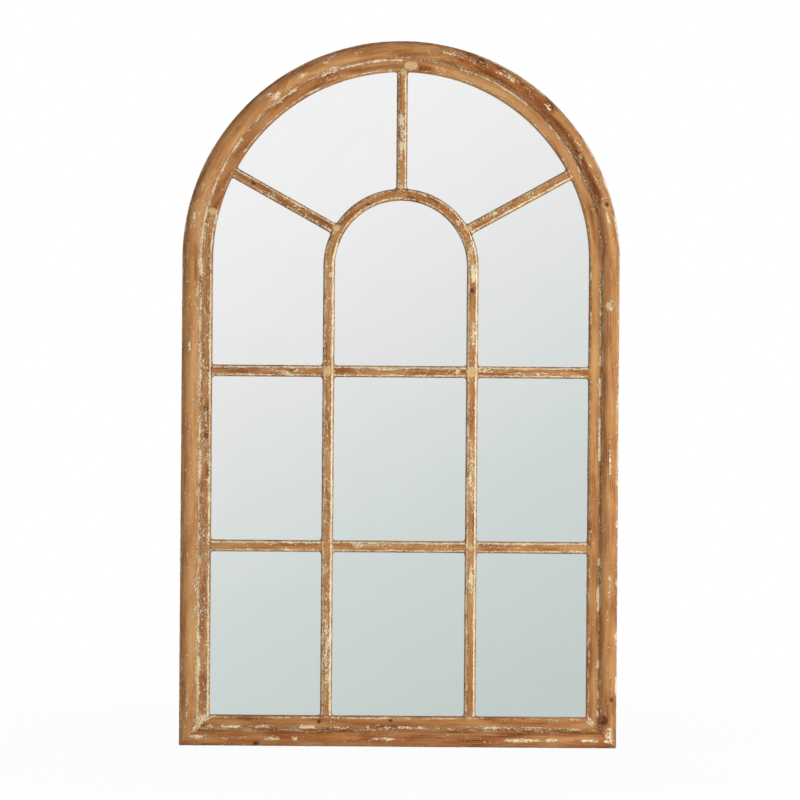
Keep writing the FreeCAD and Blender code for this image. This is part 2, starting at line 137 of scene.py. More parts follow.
def smooth(value: np.ndarray, low: float, high: float) -> np.ndarray:
    """Ease from 0 at low to 1 at high.

    Args:
        value: Numbers to ease.
        low: Where the rise starts.
        high: Where it ends; below low, the step falls instead.

    Returns:
        Numbers from 0 to 1.
    """
    share = np.clip((value - low) / (high - low), 0, 1)
    return share * share * (3 - 2 * share)


def window(value: np.ndarray, start: float, end: float, soft: float) -> np.ndarray:
    """Tell how far inside a stretch each value lies.

    Args:
        value: Places.
        start: First end of the stretch.
        end: Second end of the stretch.
        soft: Width over which it fades, centred on each end.

    Returns:
        1 well inside, 0 outside.
    """
    return smooth(value, start - soft / 2, start + soft / 2) * smooth(value, end + soft / 2, end - soft / 2)


def hump(value: np.ndarray, middle: float, reach: float) -> np.ndarray:
    """1 at the middle, falling away on both sides over about the reach."""
    return np.exp(-((value - middle) / reach) ** 2)


def blend_up(first: np.ndarray, second: np.ndarray, reach: float) -> np.ndarray:
    """Take the larger of two depths, eased where they are alike, as a fillet is.

    Args:
        first: One depth.
        second: The other.
        reach: How far from level the easing acts.

    Returns:
        The joined depth.
    """
    near = np.clip(reach - np.abs(first - second), 0, None)
    return np.maximum(first, second) + near * near / (4 * reach)


@dataclass(frozen=True)
class Ripple:
    """A gentle, repeatable unevenness made of a few crossing waves."""

    seed: int
    length: float           # wavelength along the piece, mm
    width: float            # wavelength across it, mm
    waves: int = 6

    def at(self, along: np.ndarray, across: np.ndarray) -> np.ndarray:
        """Height of the unevenness.

        Args:
            along: Places along the piece, mm.
            across: Places across it, mm.

        Returns:
            Heights of about -1 to 1.
        """
        chance = np.random.default_rng(self.seed)
        total = np.zeros(np.broadcast(along, across).shape)
        for _ in range(self.waves):
            stretch_a, stretch_b = chance.uniform(0.6, 1.7, 2)
            total += np.sin(2 * math.pi * (along / self.length * stretch_a
                                           + across / self.width * stretch_b * chance.choice((-1, 1)))
                            + chance.uniform(0, 2 * math.pi))
        return total / math.sqrt(self.waves) / 1.4


# ---------------------------------------------------------------- finishes

@dataclass(frozen=True)
class LimewashedFir:
    """Fir, planed and stained honey brown, its cream limewash rubbed back to flakes and then waxed.

    What the eye gets: straight dark latewood lines, silky fibre streaks, jagged chalky flakes that
    lie a hair proud with a painted shadow under their edges, grey residue round them, dark knots,
    dirt and painted shade in the grooves, and painted highlights on faces turned to the light.
    """

    name: str
    pale: str = "d1a06a"
    honey: str = "bd8651"
    brown: str = "965e37"
    deep: str = "653819"
    heart_pale: str = "b16b38"
    heart: str = "904c1e"
    heart_deep: str = "5e2e10"
    residue: str = "a98a5f"
    cream: str = "f9e7c4"
    cream_dirty: str = "dcbf92"
    putty: str = "e2bd85"
    knot: str = "481e0b"
    knot_ring: str = "6f3c1e"
    halo: str = "8a5129"
    # dark for dirt, pits and joints, and for painted shadow and painted shade
    grime_and_shadow: str = "54331b"
    ring_mm: float = 3.6        # growth rings of quick-grown fir
    ring_share: float = 0.22    # how far latewood darkens the tone
    fibre_mm: float = 1.3       # fibres are finer; drawn this coarse so that they show
    flake_mm: float = 1.9       # width of a limewash flake
    streak_mm: float = 90.0     # length of a fibre streak
    roughness: float = 0.55     # worn wax on softwood
    paint_roughness: float = 0.78

    def material(self) -> bpy.types.Material:
        """Build the fir's node material.

        Returns:
            The finished material.
        """
        material, tree = new_material(self.name)
        grain, run, cover, wear, knot = [add(tree, "Attribute", {"attribute_name": name}).outputs["Vector"]
                                         for name in ("grain", "run", "cover", "wear", "knot")]
        paint, putty, seam = add(tree, "SeparateXYZ", links={0: cover}).outputs
        rub_and_highlight, dirt_and_shade, red = add(tree, "SeparateXYZ", links={0: wear}).outputs
        fine = 1 / self.flake_mm
        flake_at = add(tree, "VectorMath", {"operation": "MULTIPLY", 1: (fine / 2.4, fine, fine)}, {0: run})
        flakes = add(tree, "TexNoise", {"Scale": 1.0, "Detail": 6.0, "Roughness": 0.72}, {"Vector": flake_at})
        fibre, heartwood = self.stained_wood(tree, grain, rub_and_highlight, red)
        knotted = self.knots(tree, knot, flakes, heartwood)
        painted, limed = self.limewash(tree, run, paint, flakes, fibre, knotted)
        filled, puttied = self.joint_putty(tree, putty, flakes, limed)
        pits, colour = self.grooves_and_pits(tree, run, dirt_and_shade, seam, filled, puttied)

        # relief in millimetres: flakes and putty stand proud, latewood and pits do not
        relief = add(tree, "Math", {"operation": "MULTIPLY", 1: 0.3}, {0: painted})
        for share, source in ((0.35, fibre), (0.2, filled), (-0.6, pits)):
            relief = add(tree, "Math", {"operation": "MULTIPLY_ADD", 1: share}, {0: source, 2: relief})
        bump = add(tree, "Bump", {"Strength": 0.8, "Distance": MM}, {"Height": relief})
        chalky = add(tree, "Math", {"operation": "MAXIMUM"}, {0: painted, 1: filled})
        rough = add(tree, "MapRange", {"To Min": self.roughness, "To Max": self.paint_roughness},
                    {"Value": chalky})
        shader = add(tree, "BsdfPrincipled", {"IOR": 1.5, "Specular IOR Level": 0.2},
                     {"Base Color": colour.outputs[MIXED], "Roughness": rough, "Normal": bump})
        add(tree, "OutputMaterial", links={"Surface": shader})
        return material

    def stained_wood(self, tree: bpy.types.NodeTree, grain: bpy.types.NodeSocket, rub_and_highlight: bpy.types.NodeSocket,
                     red: bpy.types.NodeSocket) -> tuple[bpy.types.Node, bpy.types.Node]:
        """Growth rings round a pith that runs along each piece, fibre streaks, and red heartwood.

        Args:
            tree: The material's node tree.
            grain: Place in the wood, along, across and through, mm.
            rub_and_highlight: How far the stain is rubbed back, and how much painted highlight lies where faces
                turn to the light.
            red: Share of heartwood.

        Returns:
            The fibre noise and the colour of the wood.
        """
        drift_at = add(tree, "VectorMath", {"operation": "MULTIPLY", 1: (1 / 240, 1 / 55, 1 / 55)}, {0: grain})
        drift = add(tree, "TexNoise", {"Scale": 1.0, "Detail": 2.0}, {"Vector": drift_at})
        swing = add(tree, "VectorMath", {"operation": "MULTIPLY_ADD", 1: (0.0, 8.0, 8.0)},
                    {0: drift.outputs["Color"], 2: grain})
        rings = add(tree, "TexWave", {"wave_type": "RINGS", "rings_direction": "X", "wave_profile": "SAW",
                                      "Scale": WAVE_TURN / self.ring_mm}, {"Vector": swing})
        late = add(tree, "ValToRGB", {"stops": [(0.0, (0, 0, 0, 1)), (0.5, (0.12, 0.12, 0.12, 1)),
                                                (0.86, (1, 1, 1, 1)), (1.0, (0.1, 0.1, 0.1, 1))]},
                   {"Fac": rings.outputs["Fac"]})
        fibre_at = add(tree, "VectorMath", {"operation": "MULTIPLY", 1: (1 / self.streak_mm, 1 / self.fibre_mm,
                                                                         1 / self.fibre_mm)}, {0: grain})
        fibre = add(tree, "TexNoise", {"Scale": 1.0, "Detail": 4.0, "Roughness": 0.6}, {"Vector": fibre_at})
        cloud_at = add(tree, "VectorMath", {"operation": "MULTIPLY", 1: (1 / 75, 1 / 13, 1 / 13)}, {0: grain})
        cloud = add(tree, "TexNoise", {"Scale": 1.0, "Detail": 3.0}, {"Vector": cloud_at})
        tone = add(tree, "Math", {"operation": "MULTIPLY_ADD", 1: 1.15, 2: -0.7}, {0: fibre})
        tone = add(tree, "Math", {"operation": "MULTIPLY_ADD", 1: self.ring_share}, {0: late, 2: tone})
        tone = add(tree, "Math", {"operation": "MULTIPLY_ADD", 1: 1.05}, {0: cloud, 2: tone})
        # lighter where the stain is rubbed back, and as painted highlight
        tone = add(tree, "Math", {"operation": "MULTIPLY_ADD", 1: -0.4, "use_clamp": True}, {0: rub_and_highlight, 2: tone})
        sapwood = add(tree, "ValToRGB", {"stops": [(0.0, linear(self.pale)), (0.38, linear(self.honey)),
                                                   (0.72, linear(self.brown)), (1.0, linear(self.deep))]},
                      {"Fac": tone})
        heart_edge = add(tree, "Math", {"operation": "SUBTRACT", 1: 0.5}, {0: cloud})
        heart_edge = add(tree, "Math", {"operation": "ADD"}, {0: heart_edge, 1: red})
        heart_at = add(tree, "MapRange", {"interpolation_type": "SMOOTHSTEP", "From Min": 0.1, "From Max": 1.0,
                                          "To Max": 0.95}, {"Value": heart_edge})
        streaks = add(tree, "ValToRGB", {"stops": [(0.22, linear(self.heart_pale)), (0.5, linear(self.heart)),
                                                   (0.8, linear(self.heart_deep))]}, {"Fac": tone})
        return fibre, add(tree, "Mix", {"data_type": "RGBA"},
                          {FACTOR: heart_at, COLOUR_A: sapwood, COLOUR_B: streaks})

    def knots(self, tree: bpy.types.NodeTree, knot: bpy.types.NodeSocket, flakes: bpy.types.Node,
              wood: bpy.types.Node) -> bpy.types.Node:
        """Knots: a dark heart, paler rings, a bark line and a brown halo, all as ragged as the flakes.

        Args:
            tree: The material's node tree.
            knot: Place in the nearest knot, in its radii.
            flakes: The flake noise.
            wood: Colour of the wood.

        Returns:
            Its colour with knots.
        """
        flat = add(tree, "VectorMath", {"operation": "MULTIPLY", 1: (1.0, 1.0, 0.0)}, {0: knot})
        reach = add(tree, "VectorMath", {"operation": "LENGTH"}, {0: flat})
        share = add(tree, "Math", {"operation": "MULTIPLY_ADD", 1: 0.4, 2: -0.2}, {0: reach.outputs["Value"]})
        ragged = add(tree, "Math", {"operation": "MULTIPLY_ADD", 1: 0.42}, {0: flakes, 2: share})
        mask = add(tree, "ValToRGB", {"stops": [(0.0, (1, 1, 1, 1)), (0.26, (0.95, 0.95, 0.95, 1)),
                                                (0.38, (0.8, 0.8, 0.8, 1)), (0.52, (0.3, 0.3, 0.3, 1)),
                                                (0.85, (0, 0, 0, 1))]}, {"Fac": ragged})
        tone = add(tree, "ValToRGB", {"stops": [(0.0, linear(self.knot)), (0.1, linear(self.knot_ring)),
                                                (0.17, linear(self.knot)), (0.25, linear(self.knot_ring)),
                                                (0.32, linear(self.knot)), (0.46, linear(self.halo))]},
                   {"Fac": ragged})
        return add(tree, "Mix", {"data_type": "RGBA"},
                   {FACTOR: mask, COLOUR_A: wood.outputs[MIXED], COLOUR_B: tone})

    def limewash(self, tree: bpy.types.NodeTree, run: bpy.types.NodeSocket, paint: bpy.types.NodeSocket,
                 flakes: bpy.types.Node, fibre: bpy.types.Node,
                 wood: bpy.types.Node) -> tuple[bpy.types.Node, bpy.types.Node]:
        """Limewash: flakes stretched along the piece, denser where the table of patches asks for them.

        Args:
            tree: The material's node tree.
            run: Place on the piece, along, inset and depth, mm.
            paint: How much limewash is left.
            flakes: The flake noise.
            fibre: The fibre noise.
            wood: Colour of the bare wood.

        Returns:
            Where flakes lie, and the colour with them.
        """
        patch_at = add(tree, "VectorMath", {"operation": "MULTIPLY", 1: (1 / 24, 1 / 7, 1 / 7)}, {0: run})
        patches = add(tree, "TexNoise", {"Scale": 1.0, "Detail": 2.0}, {"Vector": patch_at})
        broken = add(tree, "Math", {"operation": "MULTIPLY_ADD", 1: 1.35, 2: -0.185}, {0: flakes})
        level = add(tree, "Math", {"operation": "MULTIPLY_ADD", 1: 0.55}, {0: paint, 2: broken})
        level = add(tree, "Math", {"operation": "MULTIPLY_ADD", 1: 0.5}, {0: patches, 2: level})
        painted = add(tree, "MapRange", {"interpolation_type": "SMOOTHSTEP", "From Min": 1.0,
                                         "From Max": 1.035}, {"Value": level})
        # grey residue reaches furthest out, then a painted shadow as a dark line under the flakes' edges, then
        # the flakes
        stained = add(tree, "MapRange", {"interpolation_type": "SMOOTHSTEP", "From Min": 0.9,
                                         "From Max": 1.02, "To Max": 0.55}, {"Value": level})
        washed = add(tree, "Mix", {"data_type": "RGBA", COLOUR_B: linear(self.residue)},
                     {FACTOR: stained, COLOUR_A: wood.outputs[MIXED]})
        # painted shadow: a dark line just outside each flake's edge
        edge = add(tree, "MapRange", {"From Min": 0.94, "From Max": 0.99, "To Max": 0.55}, {"Value": level})
        flake_shadowed = add(tree, "Mix", {"data_type": "RGBA", COLOUR_B: linear(self.grime_and_shadow)},
                    {FACTOR: edge, COLOUR_A: washed.outputs[MIXED]})
        chalk = add(tree, "ValToRGB", {"stops": [(0.3, linear(self.cream_dirty)), (0.58, linear(self.cream))]},
                    {"Fac": fibre})
        return painted, add(tree, "Mix", {"data_type": "RGBA"},
                            {FACTOR: painted, COLOUR_A: flake_shadowed.outputs[MIXED], COLOUR_B: chalk})

    def joint_putty(self, tree: bpy.types.NodeTree, putty: bpy.types.NodeSocket, flakes: bpy.types.Node,
                    wood: bpy.types.Node) -> tuple[bpy.types.Node, bpy.types.Node]:
        """Putty over joints, ragged at its rim.

        Args:
            tree: The material's node tree.
            putty: How much putty lies on the wood.
            flakes: The flake noise.
            wood: Colour of the limewashed wood.

        Returns:
            Where putty lies, and the colour with it.
        """
        rim = add(tree, "Math", {"operation": "ADD"}, {0: flakes, 1: putty})
        filled = add(tree, "MapRange", {"interpolation_type": "SMOOTHSTEP", "From Min": 0.96, "From Max": 1.02,
                                        "To Max": 0.9}, {"Value": rim})
        tone = add(tree, "Mix", {"data_type": "RGBA", COLOUR_A: linear(self.putty),
                                 COLOUR_B: linear(self.cream_dirty)}, {FACTOR: flakes})
        return filled, add(tree, "Mix", {"data_type": "RGBA"},
                           {FACTOR: filled, COLOUR_A: wood.outputs[MIXED], COLOUR_B: tone.outputs[MIXED]})

    def grooves_and_pits(self, tree: bpy.types.NodeTree, run: bpy.types.NodeSocket, dirt_and_shade: bpy.types.NodeSocket,
                         seam: bpy.types.NodeSocket, filled: bpy.types.Node,
                         wood: bpy.types.Node) -> tuple[bpy.types.Node, bpy.types.Node]:
        """Dirt and painted shade in the grooves, worm pits, and a dark line at every joint.

        Args:
            tree: The material's node tree.
            run: Place on the piece, along, inset and depth, mm.
            dirt_and_shade: How much dirt has gathered, and how much painted shade lies where faces turn from
                the light.
            seam: Distance from the nearer cut, mm.
            filled: Where putty lies.
            wood: Colour of all that lies under the dirt.

        Returns:
            Where pits lie, and the finished colour.
        """
        speck_at = add(tree, "VectorMath", {"operation": "MULTIPLY", 1: (1 / 5, 1 / 2.4, 1 / 2.4)}, {0: run})
        specks = add(tree, "TexNoise", {"Scale": 1.0, "Detail": 3.0, "Roughness": 0.7}, {"Vector": speck_at})
        # dirt and painted shade, broken up by specks
        dust_and_shade = add(tree, "Math", {"operation": "MULTIPLY_ADD", 1: 0.34}, {0: dirt_and_shade, 2: specks})
        dusted_and_shaded = add(tree, "MapRange", {"interpolation_type": "SMOOTHSTEP", "From Min": 0.6, "From Max": 0.84,
                                       "To Max": 0.75}, {"Value": dust_and_shade})
        worn = add(tree, "Math", {"operation": "MULTIPLY_ADD", 1: 0.1}, {0: filled, 2: specks})
        pits = add(tree, "MapRange", {"interpolation_type": "SMOOTHSTEP", "From Min": 0.7, "From Max": 0.74,
                                      "To Max": 0.8}, {"Value": worn})
        joint = add(tree, "MapRange", {"interpolation_type": "SMOOTHSTEP", "From Min": 0.9, "From Max": 0.1,
                                       "To Max": 0.62}, {"Value": seam})
        dark = add(tree, "Math", {"operation": "MAXIMUM"}, {0: dusted_and_shaded, 1: pits})
        dark = add(tree, "Math", {"operation": "MAXIMUM"}, {0: dark, 1: joint})
        return pits, add(tree, "Mix", {"data_type": "RGBA", COLOUR_B: linear(self.grime_and_shadow)},
                         {FACTOR: dark, COLOUR_A: wood.outputs[MIXED]})


@dataclass(frozen=True)
class SilveredFloatGlass:
    """Float glass, silvered on its back.

    What the eye gets: a cool, faintly green reflection, as sharp as glass, with a trace of the
    cloth's diagonal wipe marks.
    """

    name: str = "silvered_float_glass"
    tint: str = "f8fbf9"
    wiped: str = "f3f8f6"
    wipe_mm: float = 24.0       # spacing of the wipe marks
    roughness: float = 0.012

    def material(self) -> bpy.types.Material:
        """Build the mirror's node material.

        Returns:
            The finished material.
        """
        material, tree = new_material(self.name)
        place = add(tree, "TexCoord").outputs["Object"]
        turned = add(tree, "Mapping", {"Rotation": (0.0, math.radians(38), 0.0)}, {"Vector": place})
        spread = add(tree, "VectorMath", {"operation": "MULTIPLY",
                                          1: (0.2 / (self.wipe_mm * MM), 1.0, 1 / (self.wipe_mm * MM))},
                     {0: turned})
        wipes = add(tree, "TexNoise", {"Scale": 1.0, "Detail": 2.0}, {"Vector": spread})
        colour = add(tree, "Mix", {"data_type": "RGBA", COLOUR_A: linear(self.tint),
                                   COLOUR_B: linear(self.wiped)}, {FACTOR: wipes})
        rough = add(tree, "MapRange", {"To Min": self.roughness, "To Max": 3 * self.roughness},
                    {"Value": wipes})
        shader = add(tree, "BsdfPrincipled", {"Metallic": 1.0},
                     {"Base Color": colour.outputs[MIXED], "Roughness": rough})
        add(tree, "OutputMaterial", links={"Surface": shader})
        return material


@dataclass(frozen=True)
class PressedHardboard:
    """Hardboard, hot-pressed from wood fibre, its screened side out.

    What the eye gets: an even chocolate brown, flecked with lighter fibres, matt and faintly meshed.
    """

    name: str = "pressed_hardboard"
    base: str = "75523a"
    fibre: str = "94704d"
    fleck: str = "543824"
    fibre_mm: float = 3.0
    screen_mm: float = 1.6      # wire screen's print; drawn at its real pitch
    roughness: float = 0.8

    def material(self) -> bpy.types.Material:
        """Build the hardboard's node material.

        Returns:
            The finished material.
        """
        material, tree = new_material(self.name)
        place = add(tree, "TexCoord").outputs["Object"]
        fibres = add(tree, "TexNoise", {"Scale": 1 / (self.fibre_mm * MM), "Detail": 5.0, "Roughness": 0.75,
                                        "Distortion": 0.25}, {"Vector": place})
        clouds = add(tree, "TexNoise", {"Scale": 9.0, "Detail": 3.0}, {"Vector": place})
        colour = add(tree, "ValToRGB", {"stops": [(0.3, linear(self.fleck)), (0.5, linear(self.base)),
                                                  (0.72, linear(self.fibre))]}, {"Fac": fibres})
        shade = add(tree, "MapRange", {"To Min": 0.8, "To Max": 1.15}, {"Value": clouds})
        toned = add(tree, "VectorMath", {"operation": "SCALE"}, {0: colour, "Scale": shade})
        screen = add(tree, "TexVoronoi", {"Scale": 1 / (self.screen_mm * MM), "Randomness": 0.15},
                     {"Vector": place})
        relief = add(tree, "Math", {"operation": "ADD"}, {0: screen, 1: fibres})
        bump = add(tree, "Bump", {"Strength": 0.5, "Distance": 0.2 * MM}, {"Height": relief})
        shader = add(tree, "BsdfPrincipled", {"Roughness": self.roughness, "IOR": 1.48},
                     {"Base Color": toned, "Normal": bump})
        add(tree, "OutputMaterial", links={"Surface": shader})
        return material


@dataclass(frozen=True)
class PlatedSteel:
    """Mild steel, pressed or drawn, then zinc plated bright or yellow, or left bare.

    What the eye gets: a cool grey or straw-yellow metal with fine drawing lines and duller, cloudy patches.
    """

    name: str = "zinc_plated_steel"
    bright: str = "c9ccce"
    dull: str = "9da1a3"
    line_mm: float = 0.5        # drawing lines
    roughness: float = 0.32

    def material(self) -> bpy.types.Material:
        """Build the plated steel's node material.

        Returns:
            The finished material.
        """
        material, tree = new_material(self.name)
        place = add(tree, "TexCoord").outputs["Object"]
        stretched = add(tree, "VectorMath", {"operation": "MULTIPLY",
                                             1: (1 / (self.line_mm * MM), 1 / (self.line_mm * MM), 60.0)},
                        {0: place})
        lines = add(tree, "TexNoise", {"Scale": 1.0, "Detail": 3.0}, {"Vector": stretched})
        clouds = add(tree, "TexNoise", {"Scale": 260.0, "Detail": 4.0}, {"Vector": place})
        colour = add(tree, "ValToRGB", {"stops": [(0.35, linear(self.dull)), (0.62, linear(self.bright))]},
                     {"Fac": clouds})
        rough = add(tree, "MapRange", {"From Min": 0.3, "From Max": 0.7, "To Min": self.roughness - 0.08,
                                       "To Max": self.roughness + 0.14}, {"Value": clouds})
        bump = add(tree, "Bump", {"Strength": 0.4, "Distance": 0.05 * MM}, {"Height": lines})
        shader = add(tree, "BsdfPrincipled", {"Metallic": 1.0},
                     {"Base Color": colour, "Roughness": rough, "Normal": bump})
        add(tree, "OutputMaterial", links={"Surface": shader})
        return material


@dataclass(frozen=True)
class MouldedRubber:
    """Natural rubber, compression moulded for the wall bumpers.

    What the eye gets: a soft dark grey with a dusty bloom and a fine moulded texture.
    """

    name: str = "moulded_rubber"
    base: str = "2b2a29"
    bloom: str = "4a4846"
    pebble_mm: float = 0.8
    roughness: float = 0.7

    def material(self) -> bpy.types.Material:
        """Build the rubber's node material.

        Returns:
            The finished material.
        """
        material, tree = new_material(self.name)
        place = add(tree, "TexCoord").outputs["Object"]
        bloom = add(tree, "TexNoise", {"Scale": 180.0, "Detail": 5.0}, {"Vector": place})
        colour = add(tree, "ValToRGB", {"stops": [(0.4, linear(self.base)), (0.75, linear(self.bloom))]},
                     {"Fac": bloom})
        pebble = add(tree, "TexVoronoi", {"Scale": 1 / (self.pebble_mm * MM)}, {"Vector": place})
        bump = add(tree, "Bump", {"Strength": 0.5, "Distance": 0.1 * MM}, {"Height": pebble})
        shader = add(tree, "BsdfPrincipled", {"Roughness": self.roughness, "IOR": 1.52},
                     {"Base Color": colour, "Normal": bump})
        add(tree, "OutputMaterial", links={"Surface": shader})
        return material


@dataclass(frozen=True)
class TurnedBeech:
    """Beech dowel, turned and fluted, unfinished.

    What the eye gets: pale pinkish wood with short dark rays.
    """

    name: str = "turned_beech"
    pale: str = "dcb994"
    ray: str = "b98c62"
    ray_mm: float = 2.0
    roughness: float = 0.6

    def material(self) -> bpy.types.Material:
        """Build the beech's node material.

        Returns:
            The finished material.
        """
        material, tree = new_material(self.name)
        place = add(tree, "TexCoord").outputs["Object"]
        rays = add(tree, "TexNoise", {"Scale": 1 / (self.ray_mm * MM), "Detail": 4.0, "Distortion": 0.6},
                   {"Vector": place})
        colour = add(tree, "ValToRGB", {"stops": [(0.35, linear(self.ray)), (0.6, linear(self.pale))]},
                     {"Fac": rays})
        bump = add(tree, "Bump", {"Strength": 0.4, "Distance": 0.1 * MM}, {"Height": rays})
        shader = add(tree, "BsdfPrincipled", {"Roughness": self.roughness, "IOR": 1.5},
                     {"Base Color": colour, "Normal": bump})
        add(tree, "OutputMaterial", links={"Surface": shader})
        return material


# ---------------------------------------------------------------- lines that the pieces follow

@dataclass(frozen=True)
class ArchRun:
    """Up a left leg, over a round head and down the right leg; insets go towards the middle."""

    half: float
    foot_z: float
    centre_z: float

    @property
    def leg(self) -> float:
        """Length of one leg."""
        return self.centre_z - self.foot_z

    @property
    def length(self) -> float:
        """Length of the whole run."""
        return 2 * self.leg + math.pi * self.half

    def station(self, angle: float) -> float:
        """Place along the run of an angle on the head, in degrees clockwise from upright."""
        return self.leg + self.half * math.radians(angle + 90)

    def turn(self, along: np.ndarray) -> np.ndarray:
        """Angle of the run's outward side, clockwise from upright, in radians."""
        return np.clip((along - self.leg) / self.half, 0, math.pi) - math.pi / 2

    def place(self, along: np.ndarray, inset: np.ndarray) -> tuple[np.ndarray, np.ndarray]:
        """Plan position of points on the run.

        Args:
            along: Places along the run.
            inset: Distances towards the middle.

        Returns:
            Their x and z.
        """
        turn, radius = self.turn(along), self.half - inset
        drop = np.clip(self.leg - along, 0, None) + np.clip(along - self.leg - math.pi * self.half, 0, None)
        return radius * np.sin(turn), self.centre_z + radius * np.cos(turn) - drop

    def heading(self, along: np.ndarray) -> tuple[np.ndarray, np.ndarray]:
        """Plan direction of travel at places along the run."""
        turn = self.turn(along)
        return np.cos(turn), -np.sin(turn)


@dataclass(frozen=True)
class StraightRun:
    """A straight line; insets go to its right hand side."""

    start_x: float
    start_z: float
    step_x: float
    step_z: float

    def place(self, along: np.ndarray, inset: np.ndarray) -> tuple[np.ndarray, np.ndarray]:
        """Plan position of points on the run.

        Args:
            along: Places along the run.
            inset: Distances to its right.

        Returns:
            Their x and z.
        """
        return (self.start_x + along * self.step_x + inset * self.step_z,
                self.start_z + along * self.step_z - inset * self.step_x)

    def heading(self, along: np.ndarray) -> tuple[np.ndarray, np.ndarray]:
        """Plan direction of travel at places along the run."""
        return np.full(np.shape(along), self.step_x), np.full(np.shape(along), self.step_z)


@dataclass
class Points:
    """A grid of points on one length of wood, one row for each station, in millimetres."""

    along: np.ndarray           # station on the run
    inset: np.ndarray
    depth: np.ndarray           # y
    x: np.ndarray
    z: np.ndarray


@dataclass(frozen=True)
class Cut:
    """A straight cut through a run."""

    station: float = 0.0
    slope: float = 0.0          # how far it moves along the run for each millimetre of inset

    def __call__(self, inset: np.ndarray | float) -> np.ndarray | float:
        """Station of the cut at each inset."""
        return self.station + self.slope * inset


@dataclass(frozen=True)
class Scarf:
    """A slanting cut through the moulding's round head."""

    outline: ArchRun
    middle: float               # radius of the middle of the moulding
    angle: float                # where the cut crosses it, degrees clockwise from upright
    lean: float                 # slant away from the radius at the outer end, degrees

    def __call__(self, inset: np.ndarray | float) -> np.ndarray | float:
        """Station of the cut.

        Args:
            inset: Insets.

        Returns:
            The station at each of them.
        """
        sine, cosine = math.sin(math.radians(self.lean)), math.cos(math.radians(self.lean))
        step = -self.middle * cosine + np.sqrt((self.outline.half - inset) ** 2 - (self.middle * sine) ** 2)
        turn = math.radians(self.angle + 90) + np.arctan2(step * sine, self.middle + step * cosine)
        return self.outline.leg + self.outline.half * turn


@dataclass(frozen=True)
class Cope:
    """A cut that fits the end of a spoke to a round neighbour."""

    radius: float               # of the neighbour's edge
    ahead: float = 0.0          # its centre, from the start of the spoke's line
    aside: float = 0.0

    def __call__(self, inset: np.ndarray | float) -> np.ndarray | float:
        """Station of the cut at each inset."""
        return self.ahead + np.sqrt(self.radius ** 2 - (inset + self.aside) ** 2)


# ---------------------------------------------------------------- sizes read from the frame

